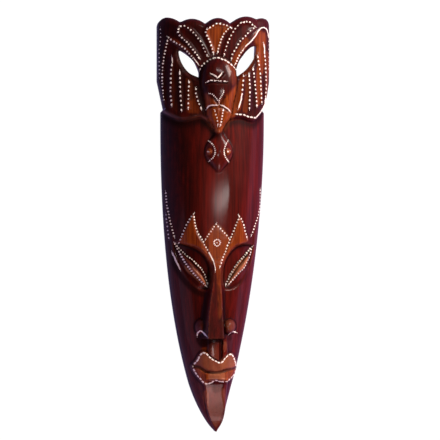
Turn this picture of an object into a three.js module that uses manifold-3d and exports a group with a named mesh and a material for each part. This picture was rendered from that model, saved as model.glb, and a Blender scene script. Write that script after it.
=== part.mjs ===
import * as THREE from 'three';
import Module from 'manifold-3d';

// A long pointed mask carved from one board, lying on its back with the face up.
// Millimetres: X runs across the face, Y from the chin up to the crest, Z from the table up.

// Board
const LENGTH = 500;
const HALF_LENGTH = LENGTH / 2;
const WALL = 12;
const RIM = 9;
const BODY_SIDE = 8;
const CREST_SIDE = 19;
const CREST_DEPTH = 48;

// Outline of the long face below the crest
const SHOULDER_Y = 126;
const BODY_HALF_WIDTH = 62.9;
const TIP_DRIFT = 6.5;
const BODY_DRIFT = 2.8;
const TIP_HALF_WIDTH = 1.2;

// Outline of the crest: straight sides that taper below, and a scalloped top
const CREST_HALF_WIDTH = 67.4;
const CREST_TAPER_TOP = 173;
const CREST_FOOT = 139;
const CREST_FOOT_HALF_WIDTH = 60;
const CREST_CORNER = 8;
const LOBES = [
  { x: -59, top: 248.2, curve: 0.025 },
  { x: -29.5, top: 245.9, curve: 0.024 },
  { x: 2, top: 247.1, curve: 0.03 },
  { x: 38, top: 250, curve: 0.02 },
  { x: 60, top: 249.4, curve: 0.02 },
];

// Carving sizes
const FLUTE_REACH = 5;
const FLUTE_DEPTH = 1.7;
const BIRD_X = 1.8;
const NOSE_FOOT = -134.6;
const NOSE_FLANK = 6;
const BROW_RISE = 2.2;
const SOCKET_DEPTH = 3;
const SOCKET_BROW_DEPTH = 4;
const SOCKET_LOW_SHARE = 0.35;
const LID_RISE = 5.5;
const LIP_RISE = 3.5;
const LIP_SPREAD = 3.2;
const LIP_SLOPE = 3;
const GROOVE_DEPTH = 1.6;
const GROOVE_WIDTH = 1.6;
const BEVEL = 5;
const HOLE_DIP = 2.2;
const HOLE_DIP_REACH = 5;
const CHIN_CREASE = 1.4;

// Facets
const COARSE_ROWS = 44;
const COARSE_COLUMNS = 12;
const CHORD_ERROR = 0.7;
const SHORTEST_EDGE = 2;
const FINEST_LEVEL = 6;

const clamp = (t) => Math.min(1, Math.max(0, t));
const ease = (t) => clamp(t) ** 2 * (3 - 2 * clamp(t));
const mix = (a, b, t) => a + (b - a) * t;
const halfRound = (t) => Math.sqrt(Math.max(0, 1 - t * t));

// The lower of two heights, with the crease between them rounded.
function softLower(a, b, blend) {
  const share = clamp(0.5 + (b - a) / (2 * blend));
  return mix(b, a, share) - blend * share * (1 - share);
}

// A smooth function of one coordinate through a few [position, value] stations.
function through(...stations) {
  const slope = stations.map((_, i) => {
    const a = stations[Math.max(0, i - 1)];
    const b = stations[Math.min(stations.length - 1, i + 1)];
    return (b[1] - a[1]) / (b[0] - a[0]);
  });
  return (p) => {
    if (p <= stations[0][0]) return stations[0][1];
    if (p >= stations.at(-1)[0]) return stations.at(-1)[1];
    const i = stations.findIndex((s) => s[0] > p) - 1;
    const [p0, v0] = stations[i];
    const [p1, v1] = stations[i + 1];
    const t = (p - p0) / (p1 - p0);
    const m0 = slope[i] * (p1 - p0);
    const m1 = slope[i + 1] * (p1 - p0);
    return v0 + t * m0 + t * t * (3 * (v1 - v0) - 2 * m0 - m1) + t ** 3 * (2 * (v0 - v1) + m0 + m1);
  };
}

// A carved line: a smooth curve in plan, kept as short straight pieces.
function line(points, closed = false) {
  const curve = new THREE.CatmullRomCurve3(points.map(([x, y]) => new THREE.Vector3(x, y, 0)), closed, 'centripetal');
  return curve.getPoints(points.length * 5).map((p) => [p.x, p.y]);
}

function distanceTo(path, x, y) {
  let best = Infinity;
  for (let i = 0; i + 1 < path.length; i += 1) {
    const [ax, ay] = path[i];
    const dx = path[i + 1][0] - ax;
    const dy = path[i + 1][1] - ay;
    const t = clamp(((x - ax) * dx + (y - ay) * dy) / (dx * dx + dy * dy));
    best = Math.min(best, Math.hypot(x - ax - t * dx, y - ay - t * dy));
  }
  return best;
}

// How far a point lies inside a closed line; outside it the value is negative.
function depthInside(path, x, y) {
  let inside = false;
  for (let i = 0; i + 1 < path.length; i += 1) {
    const [ax, ay] = path[i];
    const [bx, by] = path[i + 1];
    if (ay > y !== by > y && x < ax + ((y - ay) / (by - ay)) * (bx - ax)) inside = !inside;
  }
  return inside ? distanceTo(path, x, y) : -distanceTo(path, x, y);
}

// Outline

function bodyHalfWidth(y) {
  const t = clamp((SHOULDER_Y - y) / (SHOULDER_Y + HALF_LENGTH));
  return Math.max(TIP_HALF_WIDTH, BODY_HALF_WIDTH * (1 - t * t) ** 0.71);
}

function crestHalfWidth(y) {
  const taper = clamp((CREST_TAPER_TOP - y) / (CREST_TAPER_TOP - CREST_FOOT));
  const corner = Math.max(0, y - HALF_LENGTH + CREST_CORNER) / CREST_CORNER;
  return mix(CREST_HALF_WIDTH, CREST_FOOT_HALF_WIDTH, taper) - CREST_CORNER * (1 - halfRound(corner));
}

function halfWidth(y) {
  return mix(bodyHalfWidth(y), crestHalfWidth(y), ease((y - CREST_FOOT + 4) / 4));
}

function middle(y) {
  const tip = TIP_DRIFT * clamp((-190 - y) / 60) ** 1.6;
  return tip - BODY_DRIFT * ease((130 - y) / 280);
}

const crestTop = (x) => Math.max(...LOBES.map((lobe) => lobe.top - lobe.curve * (x - lobe.x) ** 2));

// Lower edge of the crest, where it stands proud of the forehead.
const ledge = through(
  [-66, 141], [-60.9, 135], [-56.3, 131.5], [-51.5, 128.8], [-46.3, 126.4], [-40.4, 125.6], [-34.8, 126], [-27.9, 127.6],
  [-20.9, 129.2], [-15, 126.6], [-9.9, 122], [-6.3, 116.5], [-2, 112], [4, 113], [9.3, 122], [16.3, 126.8], [23.8, 128.6],
  [31.4, 128.6], [40.3, 125.8], [46.9, 125.8], [53.5, 131.5], [60, 141.5], [63, 148], [70, 152],
);

// Plain form

const bodyDepth = through([-250, 13], [-228, 21], [-190, 30], [-145, 37.5], [-60, 44.6], [0, 46.6], [33, 47], [66, 46.2],
  [100, 44.2], [140, 41.5]);

function section(x, y, half, side, depth, power) {
  const t = clamp(Math.abs(x - middle(y)) / half);
  return side + (depth - side) * (1 - t ** 2.2) ** power;
}

function crestSurface(x, y) {
  const toTop = clamp((crestTop(x) - y) / 9);
  const plain = section(x, y, CREST_HALF_WIDTH + 0.6, CREST_SIDE, CREST_DEPTH, 0.62);
  return plain - 7 * (1 - halfRound(1 - toTop));
}

// Crest carving

const WING_EDGES = [
  line([[-57, 223], [-48.5, 217.5], [-39.5, 210.5], [-30.5, 200], [-24, 190]]),
  line([[59, 237], [48, 230], [31.5, 209], [22, 192.5]]),
];
const WING_SIDES = [
  line([[-57, 223], [-61.5, 213], [-64, 194.5], [-64, 173], [-62.5, 149]]),
  line([[59, 237], [64.5, 230], [66, 211], [66, 186]]),
];
const QUILLS = [
  line([[-52.5, 200.5], [-54.5, 178.5], [-53.5, 143]]),
  line([[-44.5, 181], [-44, 163], [-42.5, 137]]),
  line([[-34, 169.5], [-34.5, 154.5], [-34.5, 139.5]]),
  line([[-26, 160], [-24, 149.5], [-19.5, 138.5]]),
  line([[32, 177.5], [31, 164.5], [26, 140]]),
  line([[39, 178], [40, 162.5], [39.5, 139.5]]),
  line([[45, 186], [47, 170.5], [49, 143]]),
  line([[51, 202], [54, 181], [56, 147.5]]),
  line([[58.5, 216.5], [61.5, 191], [61.5, 154.5]]),
];
const FEATHERS = [
  line([[-22.5, 198], [-31, 211], [-45.5, 228.5], [-47, 234], [-41.5, 237], [-30, 230], [-18, 215], [-11, 201]]),
  line([[-5, 205], [-9, 215], [-13.5, 228], [-12, 234], [1, 240], [15.5, 235], [8, 227.5], [0, 205]]),
  line([[8, 203.5], [11.5, 216.5], [22, 234.5], [35.5, 243.5], [48, 237], [36.5, 227.5], [22, 209.5], [17, 197.5]]),
];
const CREST_RIDGES = [...WING_EDGES, ...WING_SIDES, ...QUILLS, ...FEATHERS];

// Two leaves pierced right through.
const HOLES = [
  line([[-45, 206.9], [-38.2, 205.1], [-28.6, 195.6], [-22.1, 184.6], [-21.7, 175.5], [-31.1, 179.4], [-39.2, 187.8],
    [-44, 199]], true),
  line([[48.3, 213.9], [39.3, 210.5], [27.8, 197], [23.6, 185], [24.2, 177.4], [35.9, 185.8], [45.2, 199], [47.8, 208]], true),
];

function crestRelief(x, y) {
  const near = Math.min(...CREST_RIDGES.map((ridge) => distanceTo(ridge, x, y)));
  const flute = -FLUTE_DEPTH * (1 - (1 - clamp(near / FLUTE_REACH)) ** 2);
  const hole = Math.max(...HOLES.map((path) => depthInside(path, x, y)));
  return flute - HOLE_DIP * ease(1 + hole / HOLE_DIP_REACH);
}

// Bird: body, neck and head hang down the middle of the crest and forehead.
const birdHalfWidth = through(
  [61.5, 0.5], [64, 2.5], [71, 8.4], [77, 13.5], [84, 16.5], [91, 16.2], [98, 13], [104, 7.8], [109, 5.6], [114, 5.6],
  [119, 8], [125, 12.5], [131, 15], [140, 16.5], [148, 18], [158, 20.6], [170, 22.3], [181, 21.5], [189, 18],
  [195, 12.5], [199, 6], [200.5, 1],
);
const birdCrown = through([61.5, 45.5], [67, 48.5], [76, 51.5], [88, 53], [100, 51.5], [112, 50.5], [126, 54], [145, 57],
  [170, 58.5], [188, 56], [197, 52], [201, 48]);

const BIRD_GROOVES = [
  line([[-9.5, 177.3], [-1.9, 173], [4.6, 178.6]]),
  line([[-14, 167.6], [-7.7, 168.8], [0.6, 168.5], [8.9, 168.2]]),
  line([[-4.9, 149.1], [-0.4, 141.9]]),
  line([[6.6, 151], [1.8, 143.2]]),
  line([[-12, 138.8], [-8, 139.4], [-1, 139.9], [5, 138.9], [11, 135.4]]),
];
const BIRD_EYES = [[-9.9, 87], [12.4, 87]];

function bird(x, y, ground) {
  const t = (x - BIRD_X) / birdHalfWidth(y);
  if (y < 61.5 || y > 200.5 || Math.abs(t) >= 1) return ground;
  const groove = Math.min(...BIRD_GROOVES.map((path) => distanceTo(path, x, y)));
  const eye = Math.min(...BIRD_EYES.map(([ex, ey]) => Math.hypot(x - ex, y - ey)));
  const socket = -1.6 * ease(2 - eye / 4.5) + 1.9 * halfRound(clamp(eye / 3.4));
  const crown = Math.max(ground, birdCrown(y));
  const cut = GROOVE_DEPTH * halfRound(clamp(groove / GROOVE_WIDTH));
  const detail = (socket - cut) * ease((1 - Math.abs(t)) / 0.2);
  return ground + (crown - ground) * (1 - Math.abs(t) ** 2.4) ** 0.6 + detail;
}

// Face carving

const BROWS = [
  line([[-28.5, 13], [-24.5, -7], [-14, -26.5], [-3.5, -50], [-10, -40.5], [-24, -27.5], [-44.5, -21.5], [-39, -6]], true),
  line([[27, 10], [34.5, -6.5], [39.5, -19.5], [20.5, -26.5], [9.5, -39.5], [3, -50], [11.3, -27.6], [19, -10]], true),
  line([[-1.8, 1], [6, -7], [14, -16], [9.5, -32], [3, -50], [-3.5, -50], [-11, -32], [-14, -17], [-8.5, -7]], true),
];
const SOCKETS = [
  line([[-50, -20.5], [-32, -24], [-16, -33.5], [-7, -50], [-8.5, -77], [-22.5, -77], [-41, -54], [-50.5, -32]], true),
  line([[46.5, -24], [28, -23], [14.5, -32.5], [6.5, -50], [8.5, -77], [25, -75.5], [39.5, -57], [47.5, -35]], true),
];
const EYES = [
  { outer: [-48.5, -22.5], inner: [-11, -73.5], upper: 5.2, lower: 7.4, brow: 1 },
  { outer: [45.5, -26.5], inner: [11.5, -73.5], upper: 5.2, lower: 7.4, brow: -1 },
];

// Place along an eye from its outer corner, and across it towards the brow.
function inEye(eye, x, y) {
  const dx = eye.inner[0] - eye.outer[0];
  const dy = eye.inner[1] - eye.outer[1];
  const size = Math.hypot(dx, dy);
  const rx = x - eye.outer[0];
  const ry = y - eye.outer[1];
  return { along: (rx * dx + ry * dy) / size / size, across: (eye.brow * (ry * dx - rx * dy)) / size };
}

function eyeRelief(x, y) {
  let relief = 0;
  EYES.forEach((eye, i) => {
    const inside = depthInside(SOCKETS[i], x, y);
    if (inside <= 0) return;
    const { along, across } = inEye(eye, x, y);
    const upward = ease((across + 2) / 10);
    relief -= (SOCKET_DEPTH * mix(SOCKET_LOW_SHARE, 1, upward) + SOCKET_BROW_DEPTH * upward) * ease(inside / 3.5);
    const lens = Math.sin(Math.PI * clamp(along)) ** 0.8;
    const reach = (across > 0 ? eye.upper : eye.lower) * lens;
    if (lens < 0.05 || Math.abs(across) > reach) return;
    relief += LID_RISE * lens * halfRound(across / reach) ** 1.2;
    relief -= 2.4 * lens * halfRound(clamp(Math.abs(across - 0.4) / (1.7 * lens)));
  });
  return relief;
}

const LEAVES = [
  line([[-58.6, 38], [-57, 21], [-49.6, -13], [-48.5, -26], [-43, -53], [-51, -36], [-54.5, -18], [-58.6, 10]], true),
  line([[56.5, 40], [55.3, 18], [47, -4], [45.5, -27], [41, -52], [49, -36], [51.5, -16], [56.5, 10]], true),
];

const noseHalfWidth = through([-137, 9.5], [-112, 8.6], [-89, 6.7], [-68, 4.6], [-40, 3.8]);
const noseMiddle = through([-137, -5], [-103, -4], [-75, -2], [-45, 0]);
const noseCrown = through([-137, 66], [-112, 61.2], [-89, 56.8], [-66, 52.4], [-45, 48.4], [-36, 45]);

function nose(x, y, ground) {
  const off = Math.abs(x - noseMiddle(y)) - noseHalfWidth(y);
  const flank = (1 - clamp(off / NOSE_FLANK)) ** 1.7;
  const foot = ease((y - NOSE_FOOT + 1.5) / 1.5) * ease((-36 - y) / 8);
  return ground + Math.max(0, noseCrown(y) - ground) * flank * foot;
}

const NOSTRILS = [
  { x: -18.6, y: -121.6, across: 7.6, along: 9.6 },
  { x: 15.8, y: -121.8, across: 8.6, along: 9.2 },
];
const NOSTRIL_RISE = 8.5;
const NOSTRIL_PIT = { x: -16.2, y: -139.5, across: 5.6, along: 6.4 };
const NOSTRIL_PIT_DEPTH = 5.5;

function nostrils(x, y) {
  const off = (oval) => clamp(Math.hypot((x - oval.x) / oval.across, (y - oval.y) / oval.along));
  const bulbs = Math.max(...NOSTRILS.map((bulb) => (1 - off(bulb) ** 2.4) ** 0.8));
  return NOSTRIL_RISE * bulbs - NOSTRIL_PIT_DEPTH * halfRound(off(NOSTRIL_PIT));
}

const LIPS = line([[-27.6, -169.7], [-22.6, -161.7], [-16.4, -152.2], [-7.2, -159.2], [3.3, -164.7], [11.4, -157.9],
  [17, -155], [21.2, -158.6], [27.2, -173], [21.5, -182.6], [12, -187.9], [-1.5, -186], [-12, -190],
  [-22.5, -179.4]], true);
const MOUTH = line([[-26.5, -169], [-20.9, -169.8], [-13.3, -174.8], [-9.9, -176], [3.6, -176.3], [9.4, -174.6], [26, -172.6]]);
const PHILTRUM = line([[5, -139], [4.5, -162]]);

const muzzle = (x, y) => 4.5 * ease(1.6 - Math.hypot((x + 1) / 24, (y + 165) / 36));
// The chin is planed flat in front, from the lower lip to the tip.
const chinFront = through([-250, 13.6], [-240, 17.6], [-230, 21], [-215, 26.2], [-200, 31.4], [-187, 36], [-181, 46]);
const chinHalfWidth = through([-249, 2], [-232, 7.5], [-217, 10.2], [-192, 12.4]);

function mouthRelief(x, y) {
  const inside = depthInside(LIPS, x, y);
  const parting = distanceTo(MOUTH, x, y);
  const cut = inside > 0 ? 2.6 * halfRound(clamp(parting / 2.2)) : 0;
  const lips = LIP_RISE * ease((inside + LIP_SPREAD) / LIP_SLOPE) - cut;
  const above = ease((-126 - y) / 12) * (1 - ease((inside + 2.6) / 1.2)) * ease((y + 168) / 3);
  const column = ease((13.5 - Math.abs(x - 1.5)) / 3);
  const swelling = mix(1.4, 4.2, clamp((-140 - y) / 20));
  const philtrum = above * (swelling * column - 3 * halfRound(clamp(distanceTo(PHILTRUM, x, y) / 2.6)));
  return lips + Math.max(-1.5, philtrum);
}

function chinRelief(x, y) {
  const off = Math.abs(x - middle(y) - 3.4) - chinHalfWidth(y);
  const rise = mix(3, 7, ease((-198 - y) / 25));
  return rise * (1 - ease(off / 3.5)) * ease((-182 - y) / 5) * ease((y + 250) / 14);
}

function face(x, y) {
  let z = section(x, y, halfWidth(y), BODY_SIDE, bodyDepth(y), 0.55);
  if (y < 60) {
    const brow = Math.max(...BROWS.map((path) => depthInside(path, x, y)));
    const leaf = Math.max(...LEAVES.map((path) => depthInside(path, x, y)));
    z += BROW_RISE * ease(brow / 2) + 1.2 * ease(leaf / 1.5) + eyeRelief(x, y);
  }
  z += muzzle(x, y) + mouthRelief(x, y) + chinRelief(x, y);
  z = softLower(z, chinFront(y), CHIN_CREASE);
  return Math.max(nose(x, y, z), z + nostrils(x, y));
}

function surface(x, y) {
  const step = ease((y - ledge(x) + BEVEL / 2) / BEVEL);
  const ground = step > 0 ? mix(face(x, y), crestSurface(x, y) + crestRelief(x, y), step) : face(x, y);
  return bird(x, y, ground);
}

// Front skin: a coarse net, then every edge that strays from the carving is split again.

function frontPoint(across, along) {
  const y = -HALF_LENGTH + LENGTH * along;
  const x = middle(y) + halfWidth(y) * Math.sin((across * Math.PI) / 2);
  const drop = (HALF_LENGTH - crestTop(x)) * ease((y - 185) / 60);
  return [x, y - drop, surface(x, y - drop)];
}

function frontSkin() {
  const nodes = [];
  const add = (a, b) => nodes.push({ a, b, at: frontPoint(a, b) }) - 1;
  for (let row = 0; row <= COARSE_ROWS; row += 1) {
    for (let column = 0; column <= COARSE_COLUMNS; column += 1) {
      add((2 * column) / COARSE_COLUMNS - 1, row / COARSE_ROWS);
    }
  }
  let faces = [];
  for (let row = 0; row < COARSE_ROWS; row += 1) {
    for (let column = 0; column < COARSE_COLUMNS; column += 1) {
      const first = row * (COARSE_COLUMNS + 1) + column;
      const above = first + COARSE_COLUMNS + 1;
      faces.push([first, first + 1, above + 1], [first, above + 1, above]);
    }
  }
  const seen = new Map();
  const between = (i, j, t) => frontPoint(mix(nodes[i].a, nodes[j].a, t), mix(nodes[i].b, nodes[j].b, t));
  const split = (i, j) => {
    const key = i < j ? `${i} ${j}` : `${j} ${i}`;
    if (!seen.has(key)) {
      const from = new THREE.Vector3(...nodes[Math.min(i, j)].at);
      const to = new THREE.Vector3(...nodes[Math.max(i, j)].at);
      const chord = new THREE.Line3(from, to);
      const stray = (t) => {
        const p = new THREE.Vector3(...between(Math.min(i, j), Math.max(i, j), t));
        return p.distanceTo(chord.closestPointToPoint(p, true, new THREE.Vector3()));
      };
      const coarse = Math.hypot(to.x - from.x, to.y - from.y) > SHORTEST_EDGE && Math.max(...[0.25, 0.5, 0.75].map(stray)) > CHORD_ERROR;
      seen.set(key, coarse ? add((nodes[i].a + nodes[j].a) / 2, (nodes[i].b + nodes[j].b) / 2) : -1);
    }
    return seen.get(key);
  };
  for (let level = 0; level < FINEST_LEVEL; level += 1) {
    const next = [];
    for (const tri of faces) {
      const mids = tri.map((corner, k) => split(corner, tri[(k + 1) % 3]));
      next.push(...cutTriangle(tri, mids));
    }
    faces = next;
  }
  return { nodes, faces };
}

// One triangle into one to four, by which of its edges have a middle point.
function cutTriangle(tri, mids) {
  const cuts = mids.filter((m) => m >= 0).length;
  if (cuts === 0) return [tri];
  if (cuts === 3) {
    const [ab, bc, ca] = mids;
    return [[tri[0], ab, ca], [ab, tri[1], bc], [ca, bc, tri[2]], [ab, bc, ca]];
  }
  const turn = cuts === 1 ? mids.findIndex((m) => m >= 0) : (mids.findIndex((m) => m < 0) + 1) % 3;
  const [a, b, c] = [0, 1, 2].map((k) => tri[(k + turn) % 3]);
  const [ab, bc] = [0, 1].map((k) => mids[(k + turn) % 3]);
  if (cuts === 1) return [[a, ab, c], [ab, b, c]];
  return [[ab, b, bc], [a, ab, bc], [a, bc, c]];
}

// A closed body from a skin: its border drops straight to the table and a flat back closes it.
function closedBody({ nodes, faces }, floor) {
  const positions = nodes.map((node) => node.at);
  const triangles = faces.map((tri) => [...tri]);
  const edges = new Set(faces.flatMap((tri) => tri.map((corner, k) => `${corner}>${tri[(k + 1) % 3]}`)));
  const following = new Map();
  for (const tri of faces) {
    tri.forEach((corner, k) => {
      const next = tri[(k + 1) % 3];
      if (!edges.has(`${next}>${corner}`)) following.set(corner, next);
    });
  }
  const start = following.keys().next().value;
  const loop = [start];
  for (let i = following.get(start); i !== start && loop.length < following.size; i = following.get(i)) loop.push(i);
  const foot = loop.map((i) => positions.push([positions[i][0], positions[i][1], floor]) - 1);
  loop.forEach((i, k) => {
    const n = (k + 1) % loop.length;
    triangles.push([loop[n], i, foot[k]], [loop[n], foot[k], foot[n]]);
  });
  const flat = foot.map((i) => new THREE.Vector2(positions[i][0], positions[i][1]));
  for (const [a, b, c] of THREE.ShapeUtils.triangulateShape(flat, [])) triangles.push([foot[a], foot[c], foot[b]]);
  return { positions, triangles };
}

// The hollow behind the face follows the plain form, a wall's thickness inside it.
function hollow() {
  const rows = 30;
  const columns = 12;
  const nodes = [];
  const faces = [];
  for (let row = 0; row <= rows; row += 1) {
    const along = -Math.cos((Math.PI * row) / rows);
    const y = mix(-218, 236, (1 + along) / 2);
    const ends = halfRound(along) ** 0.4;
    const half = Math.max(1.5, (Math.min(halfWidth(y), 64) - RIM) * ends);
    for (let column = 0; column <= columns; column += 1) {
      const t = Math.sin((column / columns - 0.5) * Math.PI);
      const roof = Math.max(1, (bodyDepth(Math.min(y, 140)) - WALL) * ends * (1 - Math.abs(t) ** 2.6) ** 0.5);
      nodes.push({ at: [middle(y) + half * t, y, roof] });
      if (row < rows && column < columns) {
        const first = row * (columns + 1) + column;
        const above = first + columns + 1;
        faces.push([first, first + 1, above + 1], [first, above + 1, above]);
      }
    }
  }
  return closedBody({ nodes, faces }, -1);
}

function prism(outline, low, high) {
  const count = outline.length - 1;
  const shape = outline.slice(0, count).map(([x, y]) => new THREE.Vector2(x, y));
  if (THREE.ShapeUtils.isClockWise(shape)) shape.reverse();
  const positions = [low, high].flatMap((z) => shape.map((p) => [p.x, p.y, z]));
  const triangles = [];
  shape.forEach((_, k) => {
    const n = (k + 1) % count;
    triangles.push([k, n, count + n], [k, count + n, count + k]);
  });
  for (const [a, b, c] of THREE.ShapeUtils.triangulateShape(shape, [])) {
    triangles.push([a, c, b], [count + a, count + b, count + c]);
  }
  return { positions, triangles };
}

const wasm = await Module();
wasm.setup();

function solid({ positions, triangles }) {
  return new wasm.Manifold(new wasm.Mesh({
    numProp: 3,
    vertProperties: new Float32Array(positions.flat()),
    triVerts: new Uint32Array(triangles.flat()),
  }));
}

function geometryOf(manifold) {
  const mesh = manifold.getMesh();
  const geometry = new THREE.BufferGeometry();
  geometry.setAttribute('position', new THREE.BufferAttribute(mesh.vertProperties, 3));
  geometry.setIndex(new THREE.BufferAttribute(mesh.triVerts, 1));
  geometry.computeVertexNormals();
  return geometry;
}

let carving = solid(closedBody(frontSkin(), 0)).subtract(solid(hollow()));
for (const outline of HOLES) carving = carving.subtract(solid(prism(outline, -2, CREST_DEPTH + 12)));

const stainedWood = new THREE.MeshStandardMaterial({ color: 0x6b1a0e, roughness: 0.4, metalness: 0 });
const mask = new THREE.Mesh(geometryOf(carving), stainedWood);
mask.name = 'mask';

const group = new THREE.Group();
group.add(mask);
export default group;
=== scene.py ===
import math

import bmesh
import bpy
import mathutils
import numpy as np
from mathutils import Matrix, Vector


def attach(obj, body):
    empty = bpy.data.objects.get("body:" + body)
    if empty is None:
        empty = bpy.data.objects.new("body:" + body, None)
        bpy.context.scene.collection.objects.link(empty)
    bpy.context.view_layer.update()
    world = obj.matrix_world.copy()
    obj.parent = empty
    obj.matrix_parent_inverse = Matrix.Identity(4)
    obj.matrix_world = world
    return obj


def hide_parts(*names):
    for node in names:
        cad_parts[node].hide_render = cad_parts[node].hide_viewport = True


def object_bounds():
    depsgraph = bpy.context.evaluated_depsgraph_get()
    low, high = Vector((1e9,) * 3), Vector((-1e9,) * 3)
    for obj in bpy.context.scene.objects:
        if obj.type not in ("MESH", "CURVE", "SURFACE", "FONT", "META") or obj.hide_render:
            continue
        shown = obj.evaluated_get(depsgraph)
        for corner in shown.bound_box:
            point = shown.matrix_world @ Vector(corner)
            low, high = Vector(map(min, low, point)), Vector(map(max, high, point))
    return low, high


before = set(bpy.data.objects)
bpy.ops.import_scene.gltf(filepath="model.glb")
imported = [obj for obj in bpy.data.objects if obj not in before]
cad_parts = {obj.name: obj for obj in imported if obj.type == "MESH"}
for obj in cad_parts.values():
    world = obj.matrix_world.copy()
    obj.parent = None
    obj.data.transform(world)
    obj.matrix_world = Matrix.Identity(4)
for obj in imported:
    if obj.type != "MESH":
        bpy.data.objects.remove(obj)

cadLow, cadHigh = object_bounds()
bpy.ops.object.select_all(action="DESELECT")
mm = 0.001  # the carving is worked out in millimetres and made in metres

# The carving is one height over the plan of the board: x across the face, y up to the crest.
# Sizes are in millimetres. A power says how full a rounded form is.
carving = {
    "halfLength": round(-cadLow[1] / mm, 3),      # these two are the CAD model's own
    "crestHalfWidth": round(cadHigh[0] / mm, 3),
    "wall": 12.0,             # wood left between the carving and the hollow
    "rim": 9.0,               # flat rim that the mask lies on
    "bodySide": 8.0,          # height of the upright edge beside the face
    "crestSide": 19.0,        # the same beside the crest
    "shoulder": 126.0,        # y where the long face starts to narrow
    "bodyHalfWidth": 62.9,
    "taperPower": 0.71,
    "bodyPower": 0.55,
    "sectionPower": 2.2,
    "tipHalfWidth": 1.2,
    "tipStart": -190.0,
    "tipDrift": 6.5,          # the chin's point leans to the right
    "tipDriftPower": 1.6,
    "bodyDrift": 2.8,         # and the cheeks sit a little to the left
    "bodyDriftTop": 130.0,
    "bodyDriftRun": 280.0,
    "crestDepth": 48.0,
    "crestSpare": 0.6,
    "crestPower": 0.62,
    "crestTaperTop": 173.0,
    "crestFoot": 139.0,
    "crestFootStep": 4.0,
    "crestFootHalfWidth": 60.0,
    "crestCorner": 8.0,
    "crestRoll": 9.0,         # how far in from its scalloped top the crest rounds over
    "crestRollDrop": 7.0,
    "lobes": [(-59, 248.2, 0.025), (-29.5, 245.9, 0.024), (2, 247.1, 0.03), (38, 250, 0.02),
              (60, 249.4, 0.02)],  # middle, top and curve of each scallop
    "bevel": 5.0,             # width of the slope under the crest
    "fluteReach": 5.0,
    "fluteDepth": 1.7,
    "holeSlope": 5.0,
    "holeSlopeDrop": 2.2,
    "birdX": 1.8,
    "birdFoot": 61.5,
    "birdTop": 200.5,
    "birdPowers": (2.4, 0.6),
    "birdFade": 0.2,          # share of the bird's width where its cuts fade out
    "birdEyeRing": 4.5,
    "birdEyeRingDepth": 1.6,
    "birdEyeRadius": 3.4,
    "birdEyeRise": 1.9,
    "grooveDepth": 1.6,
    "grooveWidth": 1.6,
    "browRise": 2.2,
    "browSlope": 2.0,
    "leafRise": 1.2,
    "leafSlope": 1.5,
    "socketDepth": 3.0,
    "socketBrowDepth": 4.0,
    "socketSlope": 3.5,
    "socketLowShare": 0.35,   # share of the depth that is left at the cheek
    "lidRise": 6.0,
    "lidTurn": 6.0,
    "lidCorner": 9.0,
    "slitDepth": 3.2,
    "slitPlace": 0.3,         # share of the way from the upper lid to the lower
    "slitWidth": 0.14,
    "slitCorner": 6.0,
    "noseFoot": -134.6,
    "noseFootRound": 1.5,
    "noseTop": -36.0,
    "noseTopRun": 8.0,
    "noseFlank": 6.0,
    "noseFlankPower": 1.7,
    "nostrilRise": 8.5,
    "nostrilPowers": (2.4, 0.8),
    "muzzleMiddle": (-1.0, -165.0),
    "muzzleHalfSize": (24.0, 36.0),
    "muzzleReach": 1.6,
    "muzzleRise": 4.5,
    "lipRise": 3.5,
    "lipSkirt": 3.2,
    "lipSlope": 3.0,
    "lipLineDepth": 2.6,
    "lipLineWidth": 2.2,
    "ridgeTop": -126.0,       # the pair of ridges between nose and lips
    "ridgeTopRun": 12.0,
    "ridgeX": 1.5,
    "ridgeHalfWidth": 13.5,
    "ridgeSlope": 3.0,
    "ridgeRise": (1.4, 4.2),
    "ridgeRiseTop": -140.0,
    "ridgeRiseRun": 20.0,
    "ridgeFoot": -168.0,
    "ridgeLipGap": 2.6,
    "ridgeLipSlope": 1.2,
    "ridgeGrooveDepth": 3.0,
    "ridgeGrooveWidth": 2.6,
    "ridgeDeepest": 1.5,
    "chinX": 3.4,
    "chinCrease": 1.4,
    "chinRise": (3.0, 7.0),
    "chinRiseTop": -198.0,
    "chinRiseRun": 25.0,
    "chinSlope": 3.5,
    "chinTop": -182.0,
    "chinTopRun": 5.0,
    "chinTipRun": 14.0,
    "hollowFoot": -218.0,
    "hollowTop": 236.0,
    "hollowRoofTop": 140.0,   # the hollow keeps its depth from here up
    "hollowEdge": 64.0,
    "hollowEndPower": 0.4,
    "hollowPowers": (2.6, 0.5),
    "hollowLeast": (1.5, 1.0),  # half width and height at its ends
    "hollowCutFoot": -2.0,
    "holeCutTop": 70.0,
    "holeNeck": 37.0,         # down to here a hole is cut straight
    "holeFlare": 7.0,         # and then opened out from behind
    "holeCutFoot": -3.0,
    "smoothAngle": 50.0,      # edges sharper than this in degrees stay crisp
}
halfLength = carving["halfLength"]


def clamp(t):
    return np.clip(t, 0.0, 1.0)


def ease(t):
    t = clamp(t)
    return t * t * (3 - 2 * t)


def mix(a, b, t):
    return a + (b - a) * t


def halfRound(t):
    return np.sqrt(np.maximum(0.0, 1 - t * t))


def softLower(a, b, blend):  # the lower of two heights, with the crease between them rounded
    share = clamp(0.5 + (b - a) / (2 * blend))
    return mix(b, a, share) - blend * share * (1 - share)


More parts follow.
